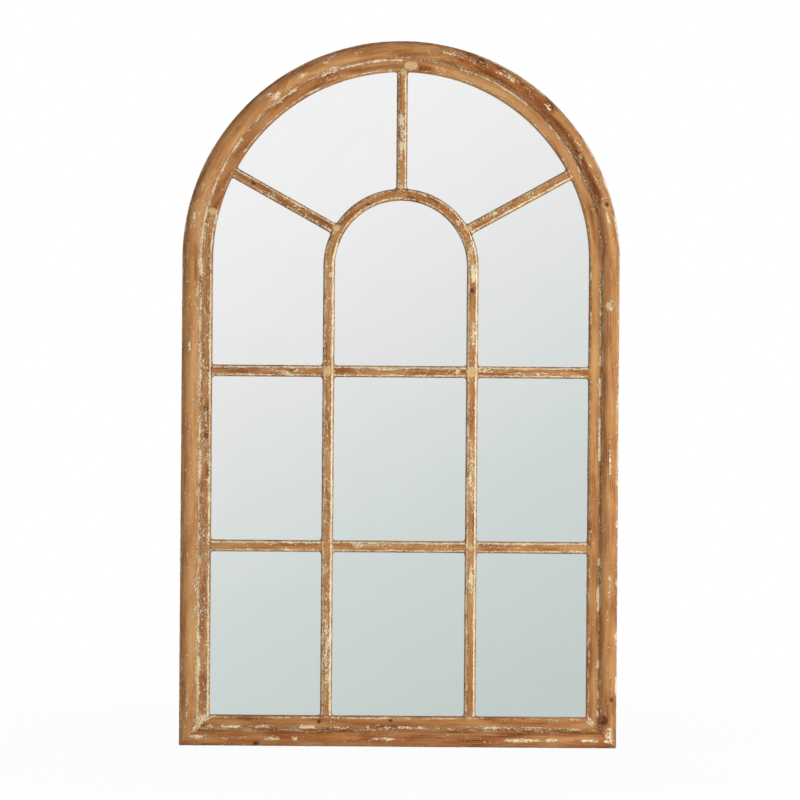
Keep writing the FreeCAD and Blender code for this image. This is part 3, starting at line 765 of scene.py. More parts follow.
@dataclass(frozen=True)
class Sizes:
    """The mirror's sizes, in millimetres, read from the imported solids."""

    half_width: float
    under_z: float
    spring_z: float
    crest_y: float
    back_y: float
    shoulder_y: float
    sash_front_y: float
    sash_back_y: float
    pane_y: float
    sight_bottom: float
    inner_z: float
    bar_centre: float
    bar_half: float
    spoke_half: float
    lower_z: float
    upper_z: float
    moulding: float = 32.0          # width of the half-round
    back_width: float = 22.0        # moulding left behind the rebate
    sash_outer: float = 22.3        # sash edge in the rebate
    sight_inset: float = 55.5
    lip_edge: float = 1.5           # thickness of the moulding's lip over the sash
    spoke_angle: float = 61.0
    bevel_width: float = 4.5
    bevel_depth: float = 5.5
    tongue: float = 6.0             # rebate behind the sight edge
    fillet: float = 5.0             # build-up of putty in the corners of the panes

    @staticmethod
    def read() -> "Sizes":
        """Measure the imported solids.

        Returns:
            Their sizes in millimetres.
        """
        def box(node: str) -> tuple[Vector, Vector]:
            """Corners of one node, in millimetres."""
            low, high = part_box(node)
            return low / MM, high / MM

        rail_low, rail_high = box("frame_rail")
        crown_high = box("frame_arch_crown")[1]
        sash_low, sash_high = box("sash_rail")
        lower_low, lower_high = box("cross_bar_lower")
        upper_low, upper_high = box("cross_bar_upper")
        arch_high = box("inner_arch_left")[1]
        upright_high = box("upright_right")[1]
        spoke_low, spoke_high = box("spoke_centre")
        bar_half = (lower_high.z - lower_low.z) / 2
        bar_centre = upright_high.x - bar_half
        return Sizes(half_width=rail_high.x, under_z=rail_low.z, spring_z=crown_high.z - rail_high.x,
                     crest_y=rail_low.y, back_y=rail_high.y, shoulder_y=sash_low.y - Sizes.lip_edge,
                     sash_front_y=sash_low.y, sash_back_y=sash_high.y, pane_y=box("pane_head_centre")[0].y,
                     sight_bottom=rail_low.z + Sizes.sight_inset, bar_centre=bar_centre, bar_half=bar_half,
                     inner_z=arch_high.z - bar_centre - bar_half, spoke_half=(spoke_high.x - spoke_low.x) / 2,
                     lower_z=(lower_low.z + lower_high.z) / 2, upper_z=(upper_low.z + upper_high.z) / 2)

    @property
    def sight_half(self) -> float:
        """Half width between the sash's sight edges."""
        return self.half_width - self.sight_inset

    @property
    def lap_y(self) -> float:
        """Depth at which uprights and cross bars are halved over each other."""
        return (self.sash_front_y + self.sash_back_y) / 2

    def outline(self) -> ArchRun:
        """The mirror's outer edge, without its underside."""
        return ArchRun(self.half_width, self.under_z, self.spring_z)

    def underside(self) -> StraightRun:
        """The mirror's lower edge, from right to left."""
        return StraightRun(self.half_width, self.under_z, -1.0, 0.0)

    def wood_depth(self, x: np.ndarray, z: np.ndarray) -> np.ndarray:
        """How far inside the sash and bars each plan point lies.

        Args:
            x: Places across.
            z: Places up.

        Returns:
            Distance from the nearest sight edge, negative over a pane, eased in the corners.
        """
        above = z - self.spring_z
        sash = np.where(above > 0, np.hypot(x, above) - self.sight_half,
                        np.maximum(np.abs(x) - self.sight_half, self.sight_bottom - z))
        rise = z - self.inner_z
        ring = self.bar_half - np.where(rise > 0, np.abs(np.hypot(x, rise) - self.bar_centre),
                                        np.abs(np.abs(x) - self.bar_centre))
        depth = blend_up(sash, ring, self.fillet)
        for level in (self.lower_z, self.upper_z):
            depth = blend_up(depth, self.bar_half - np.abs(z - level), self.fillet)
        for angle in (-self.spoke_angle, 0.0, self.spoke_angle):
            sine, cosine = math.sin(math.radians(angle)), math.cos(math.radians(angle))
            spoke = np.minimum(self.spoke_half - np.abs(x * cosine - rise * sine),
                               x * sine + rise * cosine - self.bar_centre)
            depth = blend_up(depth, spoke, self.fillet)
        return depth

    def front(self, x: np.ndarray, z: np.ndarray) -> np.ndarray:
        """Depth of the front of sash and bars: flat, with a worn bevel round every pane.

        Args:
            x: Places across.
            z: Places up.

        Returns:
            Their y.
        """
        left = np.clip(1 - self.wood_depth(x, z) / self.bevel_width, 0, 1)
        return self.sash_front_y + self.bevel_depth * left ** 1.12      # 1 is a flat bevel; wear hollows it

    def bevelled(self, points: Points) -> np.ndarray:
        """Depths of flat stock with the bevels cut into its front; its back stays."""
        front = points.depth < self.sash_front_y + TOUCH
        return np.where(front, self.front(points.x, points.z), points.depth)


# ---------------------------------------------------------------- what years of wear left behind, with painted highlight and shade

class Side(Enum):
    """Stretch of the outline that a patch lies on."""

    LEFT = "left stile, by height above the underside"
    HEAD = "head, by angle clockwise from upright"
    RIGHT = "right stile, by height above the underside"
    RAIL = "rail, by distance right of the middle"


class Layer(IntEnum):
    """What a patch changes."""

    PAINT = 0
    PUTTY = 1
    # dirt, and painted shade in grooves and on faces turned from the light
    DIRT_AND_SHADE = 2
    HEART = 3
    # rubbed wood, and painted highlight on faces turned to the light
    RUBBED_AND_LIT = 4


@dataclass(frozen=True)
class Patch:
    """One stretch of wear along the moulding or sash; some stretches are painted highlight and painted shade.
    """

    side: Side
    start: float
    end: float
    inset: float
    reach: float
    amount: float
    layer: Layer = Layer.PAINT


@dataclass(frozen=True)
class Spot:
    """One blot of wear at a place in plan."""

    x: float
    z: float
    reach_x: float
    reach_z: float
    amount: float
    layer: Layer = Layer.PAINT
    turn: float = 0.0               # of its long side up from level, degrees


@dataclass(frozen=True)
class Knot:
    """A knot at a place in plan, with its radii along and across the piece."""

    x: float
    z: float
    along: float
    across: float


def stretches(side: Side, inset: float, reach: float, rows: Sequence[tuple[float, float, float]],
              layer: Layer = Layer.PAINT) -> list[Patch]:
    """Patches that share a side and an inset.

    Args:
        side: Stretch of the outline.
        inset: Their middle, from the outer edge.
        reach: How far they spread from it.
        rows: Start, end and amount of each.
        layer: What they change.

    Returns:
        The patches.
    """
    return [Patch(side, start, end, inset, reach, amount, layer) for start, end, amount in rows]


GROOVE, CREST, EDGE, SIGHT = 34.0, 15.0, 1.5, 52.0      # insets of the places that wear or keep paint

PATCHES = (
    stretches(Side.LEFT, GROOVE, 4.0, [(20, 304, 0.6), (103, 212, 0.73), (304, 441, 0.48), (479, 538, 0.72),
                                       (571, 607, 0.66), (640, 737, 0.62), (757, 819, 0.64), (861, 892, 0.84)])
    + stretches(Side.LEFT, CREST, 3.0, [(52, 96, 0.5), (132, 140, 0.56), (161, 169, 0.56), (381, 413, 0.44),
                                        (713, 739, 0.5)])
    + stretches(Side.LEFT, EDGE, 3.0, [(30, 50, 0.5), (122, 138, 0.5), (340, 384, 0.5), (549, 605, 0.5),
                                       (794, 828, 0.5), (855, 872, 0.5)])
    + stretches(Side.LEFT, SIGHT, 2.2, [(60, 351, 0.62), (351, 888, 0.42)])
    + stretches(Side.HEAD, GROOVE, 3.0, [(-89, -61, 0.72), (-58, -53, 0.7), (-39, -32, 0.64), (-24, 0, 0.66),
                                         (18, 39, 0.6), (47, 72, 0.5)])
    + stretches(Side.HEAD, CREST, 4.0, [(-81, -77, 0.5), (-71.5, -69, 0.52), (-40, -38, 0.52), (-30, -28, 0.5),
                                        (-22.5, -20, 0.52), (-13, -10.5, 0.54), (11, 16, 0.55), (27, 32, 0.52),
                                        (42, 45, 0.55), (55, 68, 0.42), (76.5, 80, 0.55)])
    + stretches(Side.HEAD, EDGE, 3.5, [(-85, -78, 0.42), (-68, -62, 0.4), (24, 41, 0.56), (56, 86, 0.58)])
    + stretches(Side.HEAD, SIGHT, 2.0, [(-88, -62, 0.42), (-36, -26, 0.55), (20, 37, 0.5), (40, 58, 0.36)])
    + stretches(Side.RIGHT, GROOVE, 3.6, [(56, 70, 0.8), (92, 106, 0.8), (145, 162, 0.84), (249, 300, 0.8),
                                          (332, 348, 0.8), (523, 603, 0.84), (640, 676, 0.8), (698, 717, 0.84),
                                          (730, 870, 0.52)])
    + stretches(Side.RIGHT, CREST, 4.0, [(275, 318, 0.54), (498, 545, 0.54)])
    + stretches(Side.RIGHT, EDGE, 3.5, [(96, 132, 0.72), (198, 216, 0.7), (297, 311, 0.7), (402, 417, 0.72),
                                        (607, 680, 0.64), (480, 560, 0.6)])
    + stretches(Side.RIGHT, SIGHT, 2.0, [(60, 760, 0.3), (772, 797, 0.74), (856, 870, 0.74)])
    + stretches(Side.RIGHT, 14.0, 13.0, [(4, 38, 0.52)])
    + stretches(Side.RAIL, GROOVE + 1, 3.6, [(-348, -336, 0.78), (-325, -285, 0.76), (-259, -234, 0.72),
                                             (-179, -150, 0.8), (-117, -106, 0.72), (-25, -13, 0.7),
                                             (0, 22, 0.72), (36, 44, 0.72), (69, 77, 0.72), (120, 330, 0.46),
                                             (172, 183, 0.74)])
    + stretches(Side.RAIL, SIGHT, 2.2, [(-342, -330, 0.66), (-330, -95, 0.42), (-95, -11, 0.6),
                                        (-11, 330, 0.36)])
    + stretches(Side.RAIL, CREST, 4.0, [(-372, -358, 0.62), (-322, -308, 0.56), (-245, -215, 0.6),
                                        (-193, -182, 0.6), (-55, -7, 0.56), (194, 260, 0.72),
                                        (269, 292, 0.66), (333, 366, 0.64), (373, 396, 0.66)])
    + stretches(Side.HEAD, 44.0, 12.0, [(-77, -74.7, 0.8), (-24, -18.7, 0.48), (0.2, 4.7, 0.7), (9, 13.5, 0.5)],
                Layer.PUTTY)
    + stretches(Side.HEAD, 15.0, 22.0, [(15.0, 46, 1.0)], Layer.HEART)
    + stretches(Side.HEAD, 24.0, 8.5, [(44, 74, 1.0)], Layer.HEART)
    + stretches(Side.HEAD, 12.0, 9.0, [(14.0, 22, 1.25)], Layer.HEART)
    + stretches(Side.HEAD, 12.0, 10.0, [(12.0, 40, 0.34), (52, 80, 0.3)])
    + stretches(Side.HEAD, 44.0, 11.0, [(4.9, 9, 0.75), (-18.5, -9, 0.5)], Layer.HEART)
    # painted shade: the arch's up-facing outer edge, a shadow band along the right arch, and the rail's
    # up-facing upper slope
    + stretches(Side.HEAD, EDGE, 4.0, [(-46, -32, 0.95), (-12, 20, 0.6)], Layer.DIRT_AND_SHADE)
    + stretches(Side.HEAD, 23.0, 4.0, [(45, 72, 0.7)], Layer.DIRT_AND_SHADE)
    + stretches(Side.RAIL, 28.0, 4.0, [(-150, -70, 0.75), (230, 330, 0.5)], Layer.DIRT_AND_SHADE)
    + stretches(Side.RAIL, 20.0, 30.0, [(-400, 400, 0.6)], Layer.HEART)
    # painted highlight on faces turned to the light: the inner slopes of the left stile and upper-left arch,
    # the rail's down-facing lower edge, and the sash on the right
    + stretches(Side.LEFT, 23.0, 8.0, [(60, 830, 0.85)], Layer.RUBBED_AND_LIT)
    + stretches(Side.HEAD, 24.0, 7.0, [(-86, -12, 0.6)], Layer.RUBBED_AND_LIT)
    + stretches(Side.RAIL, 5.0, 7.0, [(-380, 380, 0.5)], Layer.RUBBED_AND_LIT)
    + stretches(Side.HEAD, 44.0, 9.0, [(15, 73, 0.5)], Layer.RUBBED_AND_LIT)
    + stretches(Side.RIGHT, 44.0, 8.0, [(500, 888, 0.4)], Layer.RUBBED_AND_LIT)
)

SPOTS = (
    Spot(-131.3, -230.3, 7, 7.5, 1.0, Layer.PUTTY), Spot(131.3, -230.3, 8, 8, 1.0, Layer.PUTTY),
    Spot(131.3, -550.3, 7, 9, 0.6, Layer.PUTTY), Spot(-131.3, -550.3, 6, 6, 0.4, Layer.PUTTY),
    Spot(-118.6, 31.9, 8, 7, 0.75, Layer.PUTTY), Spot(122.0, 31.9, 8, 7, 0.75, Layer.PUTTY),
    Spot(0, 106, 7, 7, 0.65, Layer.PUTTY), Spot(2, 316, 8, 8, 0.62, Layer.PUTTY),
    Spot(-131.0, -862, 9, 7, 0.5, Layer.PUTTY), Spot(131.0, -862, 9, 7, 0.54, Layer.PUTTY),
    Spot(128, -2, 6, 18, 0.64), Spot(132, -48, 6, 26, 0.72), Spot(133, -160, 5, 30, 0.62),
    Spot(-130, -740, 6, 110, 0.58), Spot(131, -420, 6, 80, 0.56), Spot(131, -610, 6, 50, 0.6),
    Spot(-127, -52, 5, 12, 0.66), Spot(267, 255, 4, 3, 0.6), Spot(105, 45, 8, 8, 0.6), Spot(90, 62, 7, 6, 0.5),
    Spot(-160, 68, 12, 8, 0.55), Spot(165, 60, 12, 8, 0.6), Spot(0, 200, 6, 60, 0.55),
    Spot(-25, -225, 34, 5, 0.66), Spot(105, -230, 9, 6, 0.66), Spot(155, -228, 14, 5, 0.6),
    Spot(-210, -232, 60, 6, 0.46), Spot(250, -233, 60, 6, 0.48), Spot(-45, -548, 60, 6, 0.46),
    Spot(-364, -879, 19, 5, 0.85, turn=45), Spot(-352, -864, 12, 9, 0.72), Spot(-368, -897, 15, 4, 0.7),
    Spot(352, -868, 14, 8, 0.52, turn=-45),
    Spot(378, -108, 5, 7, 0.8, Layer.PUTTY), Spot(384, -108, 6, 12, 0.6),
    Spot(385, -105, 5, 6, 0.75, Layer.DIRT_AND_SHADE), Spot(-230, 269, 14, 7, 0.66, turn=36),
    Spot(-130, 342, 14, 5, 0.6, turn=20), Spot(-182, 306, 13, 4, 0.64, turn=31),
    Spot(-130, 317, 26, 6, 0.6, turn=18),
    Spot(325, 150, 7, 36, 0.4),
)

KNOTS = (
    Knot(143, 335, 9.5, 6.0), Knot(267, 255, 10.0, 7.5), Knot(374, 77, 4.0, 3.2), Knot(-199, -229, 4.5, 3.0),
    Knot(-137, -185, 4.0, 3.0), Knot(130, -81, 4.5, 4.0), Knot(-179, 68.5, 3.5, 2.8), Knot(-270, 112, 4.0, 3.0),
    Knot(-354, -300.6, 5.0, 3.5), Knot(-354, -350, 5.5, 4.0), Knot(376, -863, 9.0, 6.5),
    Knot(389, -825, 4.0, 3.0), Knot(-143, -870, 3.8, 3.2), Knot(-12.6, -867, 3.5, 2.6),
    Knot(-258, -909, 5.0, 4.0), Knot(-60, 73, 4.5, 3.2),
)
KNOTS_BEFORE = -20.0            # knots show on wood in front of this depth, mm


# ---------------------------------------------------------------- lengths of wood

@dataclass
class Length:
    """One length of wood: a closed section swept along a run between two cuts."""

    node: str
    run: ArchRun | StraightRun
    section: np.ndarray             # rows of inset and depth, closed, mm
    start: Cut | Scarf | Cope
    end: Cut | Scarf | Cope
    seed: int
    station_offset: float = 0.0     # added to make one station round the whole outline
    heart: float = 0.0              # how red and dark this piece grew
    paint: float = 0.1              # limewash left all over
    ridge_paint: tuple[float, float] = (0.0, 0.0)   # more of it on the left and right ridges
    half_round: bool = False        # moulding; the rest is flat stock with bevels
    bent: float = 0.55              # how far the grain follows the curve, between sawn (0) and bent (1)
    dents: float = 0.32             # depth of handling marks, mm
    pitch: float = 2.2              # between sections, mm
    end_steps: tuple[float, ...] = (0.0, 0.35, 0.9, 1.7, 2.8)   # closer sections at both ends, from the cut
    hollows: tuple[tuple[float, float], ...] = ()   # stretches halved for a lap
    hollow_front: bool = False
    lap_play: float = 0.3           # kept free of other sections on both sides of a halved stretch
    flares: tuple[tuple[float, int], ...] = ()      # stations and sides where it swells into its neighbour

    def stations(self) -> tuple[np.ndarray, np.ndarray]:
        """Shares of the length at which sections stand, and which of them are halved.

        Returns:
            Shares from 0 to 1, and a flag for each.
        """
        middle = float(np.mean(self.section[:, 0]))
        first, last = float(self.start(middle)), float(self.end(middle))
        reach = last - first
        *near, inner = self.end_steps
        shares = [step / reach for step in near] + [1 - step / reach for step in near]
        count = max(3, int((reach - 2 * inner) / self.pitch))
        shares += list(np.linspace(inner / reach, 1 - inner / reach, count))
        halved: list[float] = []
        for low, high in self.hollows:
            shares = [share for share in shares
                      if not low - self.lap_play < first + share * reach < high + self.lap_play]
            edges = (low - first) / reach, (high - first) / reach
            shares += [edges[0] - 1e-9, edges[1] + 1e-9]
            halved += list(np.linspace(*edges, 12))
        marks = sorted([(share, False) for share in shares] + [(share, True) for share in halved])
        return np.array([mark[0] for mark in marks]), np.array([mark[1] for mark in marks])

    def build(self, sizes: Sizes, worn: Callable[..., tuple[np.ndarray, np.ndarray]]) -> bpy.types.Object:
        """Make the mesh.

        Args:
            sizes: The mirror's sizes.
            worn: Gives cover and wear from this length and its points.

        Returns:
            The mesh object, riding on the mirror in its node's place.
        """
        shares, halved = self.stations()
        rows = halved[:, None]
        first, last = self.start(self.section[:, 0]), self.end(self.section[:, 0])
        along = first + shares[:, None] * (last - first)
        inset, depth = [np.broadcast_to(column, along.shape) for column in self.section.T]
        inset = self.swollen(along, inset, sizes.fillet)
        if not self.half_round:
            depth = sizes.bevelled(Points(along, inset, depth, *self.run.place(along, inset)))
        if self.hollows:
            cut = np.maximum if self.hollow_front else np.minimum
            depth = np.where(rows, cut(depth, sizes.lap_y), depth)
        reach = np.minimum(along - first, last - along)
        sheltered = rows | (depth >= sizes.back_y - TOUCH)
        sink = np.where(sheltered, 0, self.marks(along, reach)) * self.exposed(sizes)
        out_inset, out_depth = section_normals(self.section)
        inset, depth = inset - out_inset * sink, depth - out_depth * sink
        points = Points(along, inset, depth, *self.run.place(along, inset))
        piece = mesh_from_grid(self.node + "_fir", points, self.section[:, 0])
        self.mark(piece, points, reach, *worn(self, points))
        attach(piece, "mirror")
        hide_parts(self.node)
        return piece

    def swollen(self, along: np.ndarray, inset: np.ndarray, fillet: float) -> np.ndarray:
        """Widen the piece where it runs into a neighbour, as the putty in the corners does.

        Args:
            along: Stations.
            inset: Insets of the plain section.
            fillet: How far the widening reaches.

        Returns:
            The new insets.
        """
        widest = np.abs(self.section[:, 0]).max()
        side = np.sign(inset) * smooth(np.abs(inset), 0.5 * widest, widest)
        for station, way in self.flares:
            ahead = (along - station) * way
            gap = np.clip(ahead, 0, None)
            swell = np.where(gap < fillet, (math.sqrt(fillet) - np.sqrt(gap)) ** 2, 0)
            inset = inset + side * np.where(ahead >= -1e-6, swell, 0)
        return inset

    def marks(self, along: np.ndarray, reach: np.ndarray) -> np.ndarray:
        """Handling marks and the slight hollows that sanding leaves, always inwards.

        Args:
            along: Stations.
            reach: Distances from the nearer cut.

        Returns:
            Their depths.
        """
        girth = np.cumsum(np.hypot(*np.diff(self.section, axis=0, prepend=self.section[:1]).T))
        broad = Ripple(self.seed, 170.0, 60.0).at(along, girth)
        short = Ripple(self.seed + 1, 26.0, 17.0).at(along, girth)
        dents = self.dents * np.clip(0.4 + 0.4 * broad + 0.45 * short, 0, 1.6)
        return dents * smooth(reach, 0.0, 6.0) + 0.22 * np.exp(-reach / 0.5)

    def exposed(self, sizes: Sizes) -> np.ndarray:
        """Tell which corners of the section a knock can reach.

        Args:
            sizes: The mirror's sizes.

        Returns:
            1 for each such corner, 0 in the moulding's rebate.
        """
        inset, depth = self.section.T
        hidden = self.half_round & (depth > sizes.sash_front_y - 0.2) & (inset > 1.2)
        return np.where(hidden, 0.0, 1.0)

    def mark(self, piece: bpy.types.Object, points: Points, reach: np.ndarray, cover: np.ndarray,
             wear: np.ndarray) -> None:
        """Store what the finish reads: grain, place, cover, wear and knots.

        Args:
            piece: The mesh object.
            points: Its points.
            reach: Their distances from the nearer cut.
            cover: Paint and putty on them; the third part takes the reach.
            wear: How rubbed and painted lighter, how dirty and painted darker, and how red they are.
        """
        chance = np.random.default_rng(self.seed)
        lengthwise, across = self.grain(points, math.radians(chance.uniform(-1.6, 1.6)))
        across, knot = self.knots(points, across)
        pith_across, pith_depth = chance.uniform(25, 75) * chance.choice((-1, 1)), chance.uniform(12, 60)
        cover[..., 2] = reach
        # each piece is cut from another plank, far enough off that no pattern of the wood comes twice
        store(piece, "grain", np.stack([lengthwise + 700.0 * self.seed,
                                        across - float(np.mean(across)) + pith_across,
                                        points.depth + pith_depth], -1))
        store(piece, "run", np.stack([points.along + self.station_offset + 900.0 * (self.seed // 20),
                                      points.inset, points.depth], -1))
        store(piece, "cover", cover)
        store(piece, "wear", wear)
        store(piece, "knot", knot)

    def grain(self, points: Points, tilt: float) -> tuple[np.ndarray, np.ndarray]:
        """Place of points in the plank: its fibres run along the chord, or partly along the curve.

        Args:
            points: The points.
            tilt: How far the plank was sawn off its grain, radians.

        Returns:
            Places along and across the fibres.
        """
        x, z = points.x, points.z
        chord = np.array([x[-1].mean() - x[0].mean(), z[-1].mean() - z[0].mean()])
        chord /= np.hypot(*chord)
        step_x = chord[0] * math.cos(tilt) - chord[1] * math.sin(tilt)
        step_z = chord[0] * math.sin(tilt) + chord[1] * math.cos(tilt)
        return (x * step_x + z * step_z,
                (1 - self.bent) * (x * step_z - z * step_x) + self.bent * points.inset)

    def knots(self, points: Points, across: np.ndarray) -> tuple[np.ndarray, np.ndarray]:
        """Lead the grain round each knot, and find each point's place in the nearest one.

        Args:
            points: The points.
            across: Their places across the fibres.

        Returns:
            The new places across, and the place in the knot along and across, in its radii.
        """
        heading_x, heading_z = self.run.heading(points.along)
        place = np.full(points.x.shape + (3,), 9.0)         # 9 radii away: no knot
        place[..., 2] = 0.0
        nearest = np.full(points.x.shape, np.inf)
        for knot in KNOTS:
            step_x, step_z = points.x - knot.x, points.z - knot.z
            ahead = (step_x * heading_x + step_z * heading_z) / knot.along
            beside = (step_x * heading_z - step_z * heading_x) / knot.across
            size = np.hypot(ahead, beside)
            pinch = np.exp(-((ahead / 2.4) ** 2 + (beside / 2.2) ** 2))     # fades over about two radii
            middle = across.flat[np.argmin(step_x ** 2 + step_z ** 2)]
            across = middle + (across - middle) * (1 - 0.8 * pinch)
            closer = (size < nearest) & (points.depth < KNOTS_BEFORE)
            place[closer, 0], place[closer, 1] = ahead[closer], beside[closer]
            nearest = np.where(closer, size, nearest)
        return across, place


def section_normals(section: np.ndarray) -> tuple[np.ndarray, np.ndarray]:
    """Outward directions at the corners of a closed section.

    Args:
        section: Rows of inset and depth.

    Returns:
        Their inset and depth parts.
    """
    after, before = np.roll(section, -1, 0) - section, section - np.roll(section, 1, 0)
    turn = np.sum(section[:, 0] * np.roll(section[:, 1], -1) - np.roll(section[:, 0], -1) * section[:, 1])
    way = 1.0 if turn > 0 else -1.0
    total = np.zeros(section.shape)
    for edge in (after, before):
        edge = edge / np.maximum(np.hypot(edge[:, 0], edge[:, 1]), 1e-9)[:, None]
        total += way * np.stack([edge[:, 1], -edge[:, 0]], -1)
    total /= np.maximum(np.hypot(total[:, 0], total[:, 1]), 1e-9)[:, None]
    return total[:, 0], total[:, 1]


def mesh_from_grid(name: str, grid: Points, insets: np.ndarray) -> bpy.types.Object:
    """Skin a grid of points that closes round its sections, and cap both ends.

    Args:
        name: Name of the piece.
        grid: The points, one row for each section.
        insets: Insets of the plain section, for the pattern of the caps.

    Returns:
        The mesh object.
    """
    rows, count = grid.x.shape
    points = np.stack([grid.x, grid.depth, grid.z], -1).reshape(-1, 3)
    row, column = np.meshgrid(np.arange(rows - 1), np.arange(count), indexing="ij")
    beside = (column + 1) % count
    quads = np.stack([row * count + column, row * count + beside, (row + 1) * count + beside,
                      (row + 1) * count + column], -1).reshape(-1, 4)
    corner = points[quads]
    middle = points.reshape(rows, count, 3).mean(1)[quads[:, 0] // count]
    face_way = np.cross(corner[:, 2] - corner[:, 0], corner[:, 3] - corner[:, 1])
    if np.sum(face_way * (corner.mean(1) - middle)) < 0:
        quads = quads[:, ::-1]
    caps = []
    for base in (0, (rows - 1) * count):
        flat = [Vector((insets[k], points[base + k, 1], 0.0)) for k in range(count)]
        caps.append([[base + k for k in face] for face in tessellate_polygon([flat])])
    ahead = points[count:2 * count].mean(0) - points[:count].mean(0)
    first, second, third = points[caps[0][0]]
    backward = 0 if np.dot(np.cross(second - first, third - first), ahead) > 0 else 1
    caps[backward] = [face[::-1] for face in caps[backward]]
    mesh = bpy.data.meshes.new(name)
    mesh.from_pydata((points * MM).tolist(), [], quads.tolist() + caps[0] + caps[1])
    mesh.shade_smooth()
    mesh.set_sharp_from_angle(angle=math.radians(38))
    mesh.update()
    piece = bpy.data.objects.new(name, mesh)
    bpy.context.scene.collection.objects.link(piece)
    return piece


def store(piece: bpy.types.Object, name: str, values: np.ndarray) -> None:
    """Keep one vector for each point of a mesh.

    Args:
        piece: The mesh object.
        name: Name that its material reads.
        values: Vectors in the order of the points.
    """
    layer = piece.data.attributes.new(name, "FLOAT_VECTOR", "POINT")
    layer.data.foreach_set("vector", values.reshape(-1).astype(np.float32))


# ---------------------------------------------------------------- moulding and sash

@dataclass
class Surround:
    """The half-round moulding and the flat sash inside it, both jointed round the outline."""

    sizes: Sizes
    fir: bpy.types.Material
    sash_fir: bpy.types.Material
    shoulder_joint: float = 73.0    # joints of the moulding's head, degrees clockwise from upright
    crown_joint: float = 11.8
    left_joint: float = -33.0
    scarf_lean: float = 55.0        # their slant from the radius, degrees
    sash_joints: tuple[float, ...] = (-75.0, -19.0, 5.0, 38.0, 74.0)
    corner_radius: float = 3.0      # of the two lower corners, mm
    arc_points: int = 27            # across the half-round front, which is really smooth

    def moulding_section(self) -> np.ndarray:
        """Half-round front, lip over the sash and square back.

        Returns:
            Rows of inset and depth.
        """
        sizes = self.sizes
        half, rise = sizes.moulding / 2, sizes.shoulder_y - sizes.crest_y
        radius = (half * half + rise * rise) / (2 * rise)
        turn = math.asin(half / radius)
        arc = [(half + radius * math.sin(angle), sizes.crest_y + radius - radius * math.cos(angle))
               for angle in np.linspace(-turn, turn, self.arc_points)]
        lip = [(sizes.moulding, sizes.sash_front_y - 0.5), (sizes.moulding - 0.5, sizes.sash_front_y),
               (sizes.back_width, sizes.sash_front_y), (sizes.back_width, sizes.back_y - 0.4),
               (sizes.back_width - 0.4, sizes.back_y), (15.0, sizes.back_y), (8.0, sizes.back_y),
               (1.2, sizes.back_y), (0.35, sizes.back_y - 0.35), (0.0, sizes.back_y - 1.2)]
        flank = [(0.0, depth) for depth in np.linspace(sizes.back_y - 5, sizes.shoulder_y + 1.5, 6)]
        return np.array(arc + lip + flank)

    def sash_section(self) -> np.ndarray:
        """Flat band with its bevel, sight edge and rebate.

        Returns:
            Rows of inset and depth.
        """
        sizes = self.sizes
        sight = sizes.sight_inset
        front = [sizes.sash_outer, 30.5, 31.6, 32.6, 34.0, 36.5, 39.5, 42.5, 45.5, 48.0, 50.0, 51.0, 51.9, 52.9,
                 54.0, 54.9, sight]
        back = [(sight, sizes.pane_y), (sight - sizes.tongue, sizes.pane_y),
                (sight - sizes.tongue - 0.3, sizes.sash_back_y), (35.0, sizes.sash_back_y),
                (sizes.sash_outer, sizes.sash_back_y)]
        return np.array([(inset, sizes.sash_front_y) for inset in front] + back)

    def scarf(self, angle: float, lean: float) -> Scarf:
        """Slanting cut through the head, as angle from upright and slant from the radius."""
        return Scarf(self.sizes.outline(), self.sizes.half_width - self.sizes.moulding / 2, angle, lean)

    def moulding(self) -> list[Length]:
        """Rail, stiles and the three pieces of the head.

        Returns:
            The lengths of wood.
        """
        outline, section = self.sizes.outline(), self.moulding_section()
        cuts = [Cut(slope=1.0), self.scarf(-self.shoulder_joint, -self.scarf_lean),
                self.scarf(self.left_joint, self.scarf_lean), self.scarf(self.crown_joint, -self.scarf_lean),
                self.scarf(self.shoulder_joint, self.scarf_lean), Cut(outline.length, -1.0)]
        pieces = [Length("frame_rail", self.sizes.underside(), section, cuts[0],
                         Cut(2 * self.sizes.half_width, -1.0), 11, station_offset=outline.length, heart=0.5,
                         paint=0.15, half_round=True)]
        for place, (name, heart, paint) in enumerate((
                ("frame_stile_left", 0.16, 0.2), ("frame_arch_left", 0.24, 0.14),
                ("frame_arch_crown", 0.28, 0.14), ("frame_arch_right", 0.2, 0.16),
                ("frame_stile_right", 0.3, 0.15))):
            pieces.append(Length(name, outline, section, cuts[place], cuts[place + 1], 12 + place, heart=heart,
                                 paint=paint, half_round=True))
        return pieces

    def sash(self) -> list[Length]:
        """Rail, stiles and the four pieces of the sash's head.

        Returns:
            The lengths of wood.
        """
        outline, section = self.sizes.outline(), self.sash_section()
        mitre, cuts = Cut(slope=1.0), [Cut(outline.station(angle)) for angle in self.sash_joints]
        pieces = [Length("sash_rail", self.sizes.underside(), section, mitre,
                         Cut(2 * self.sizes.half_width, -1.0), 21, station_offset=outline.length, heart=0.4,
                         paint=0.14),
                  Length("sash_stile_left", outline, section, mitre, cuts[0], 22, heart=0.36, paint=0.3),
                  Length("sash_stile_right", outline, section, cuts[-1], Cut(outline.length, -1.0), 23,
                         heart=0.3, paint=0.12)]
        for place, (name, heart) in enumerate((("sash_arch_left", 0.46), ("sash_arch_crown", 0.34),
                                               ("sash_arch_upper_right", 0.1), ("sash_arch_right", 0.16))):
            pieces.append(Length(name, outline, section, cuts[place], cuts[place + 1], 24 + place, heart=heart,
                                 paint=0.12))
        return pieces

    def station_of(self, side: Side, value: float) -> float:
        """Station on the outline of a place on one of its sides.

        Args:
            side: The side.
            value: The place, as that side counts it.

        Returns:
            The station.
        """
        outline = self.sizes.outline()
        return {Side.LEFT: value, Side.HEAD: outline.station(value), Side.RIGHT: outline.length - value,
                Side.RAIL: outline.length + outline.half - value}[side]

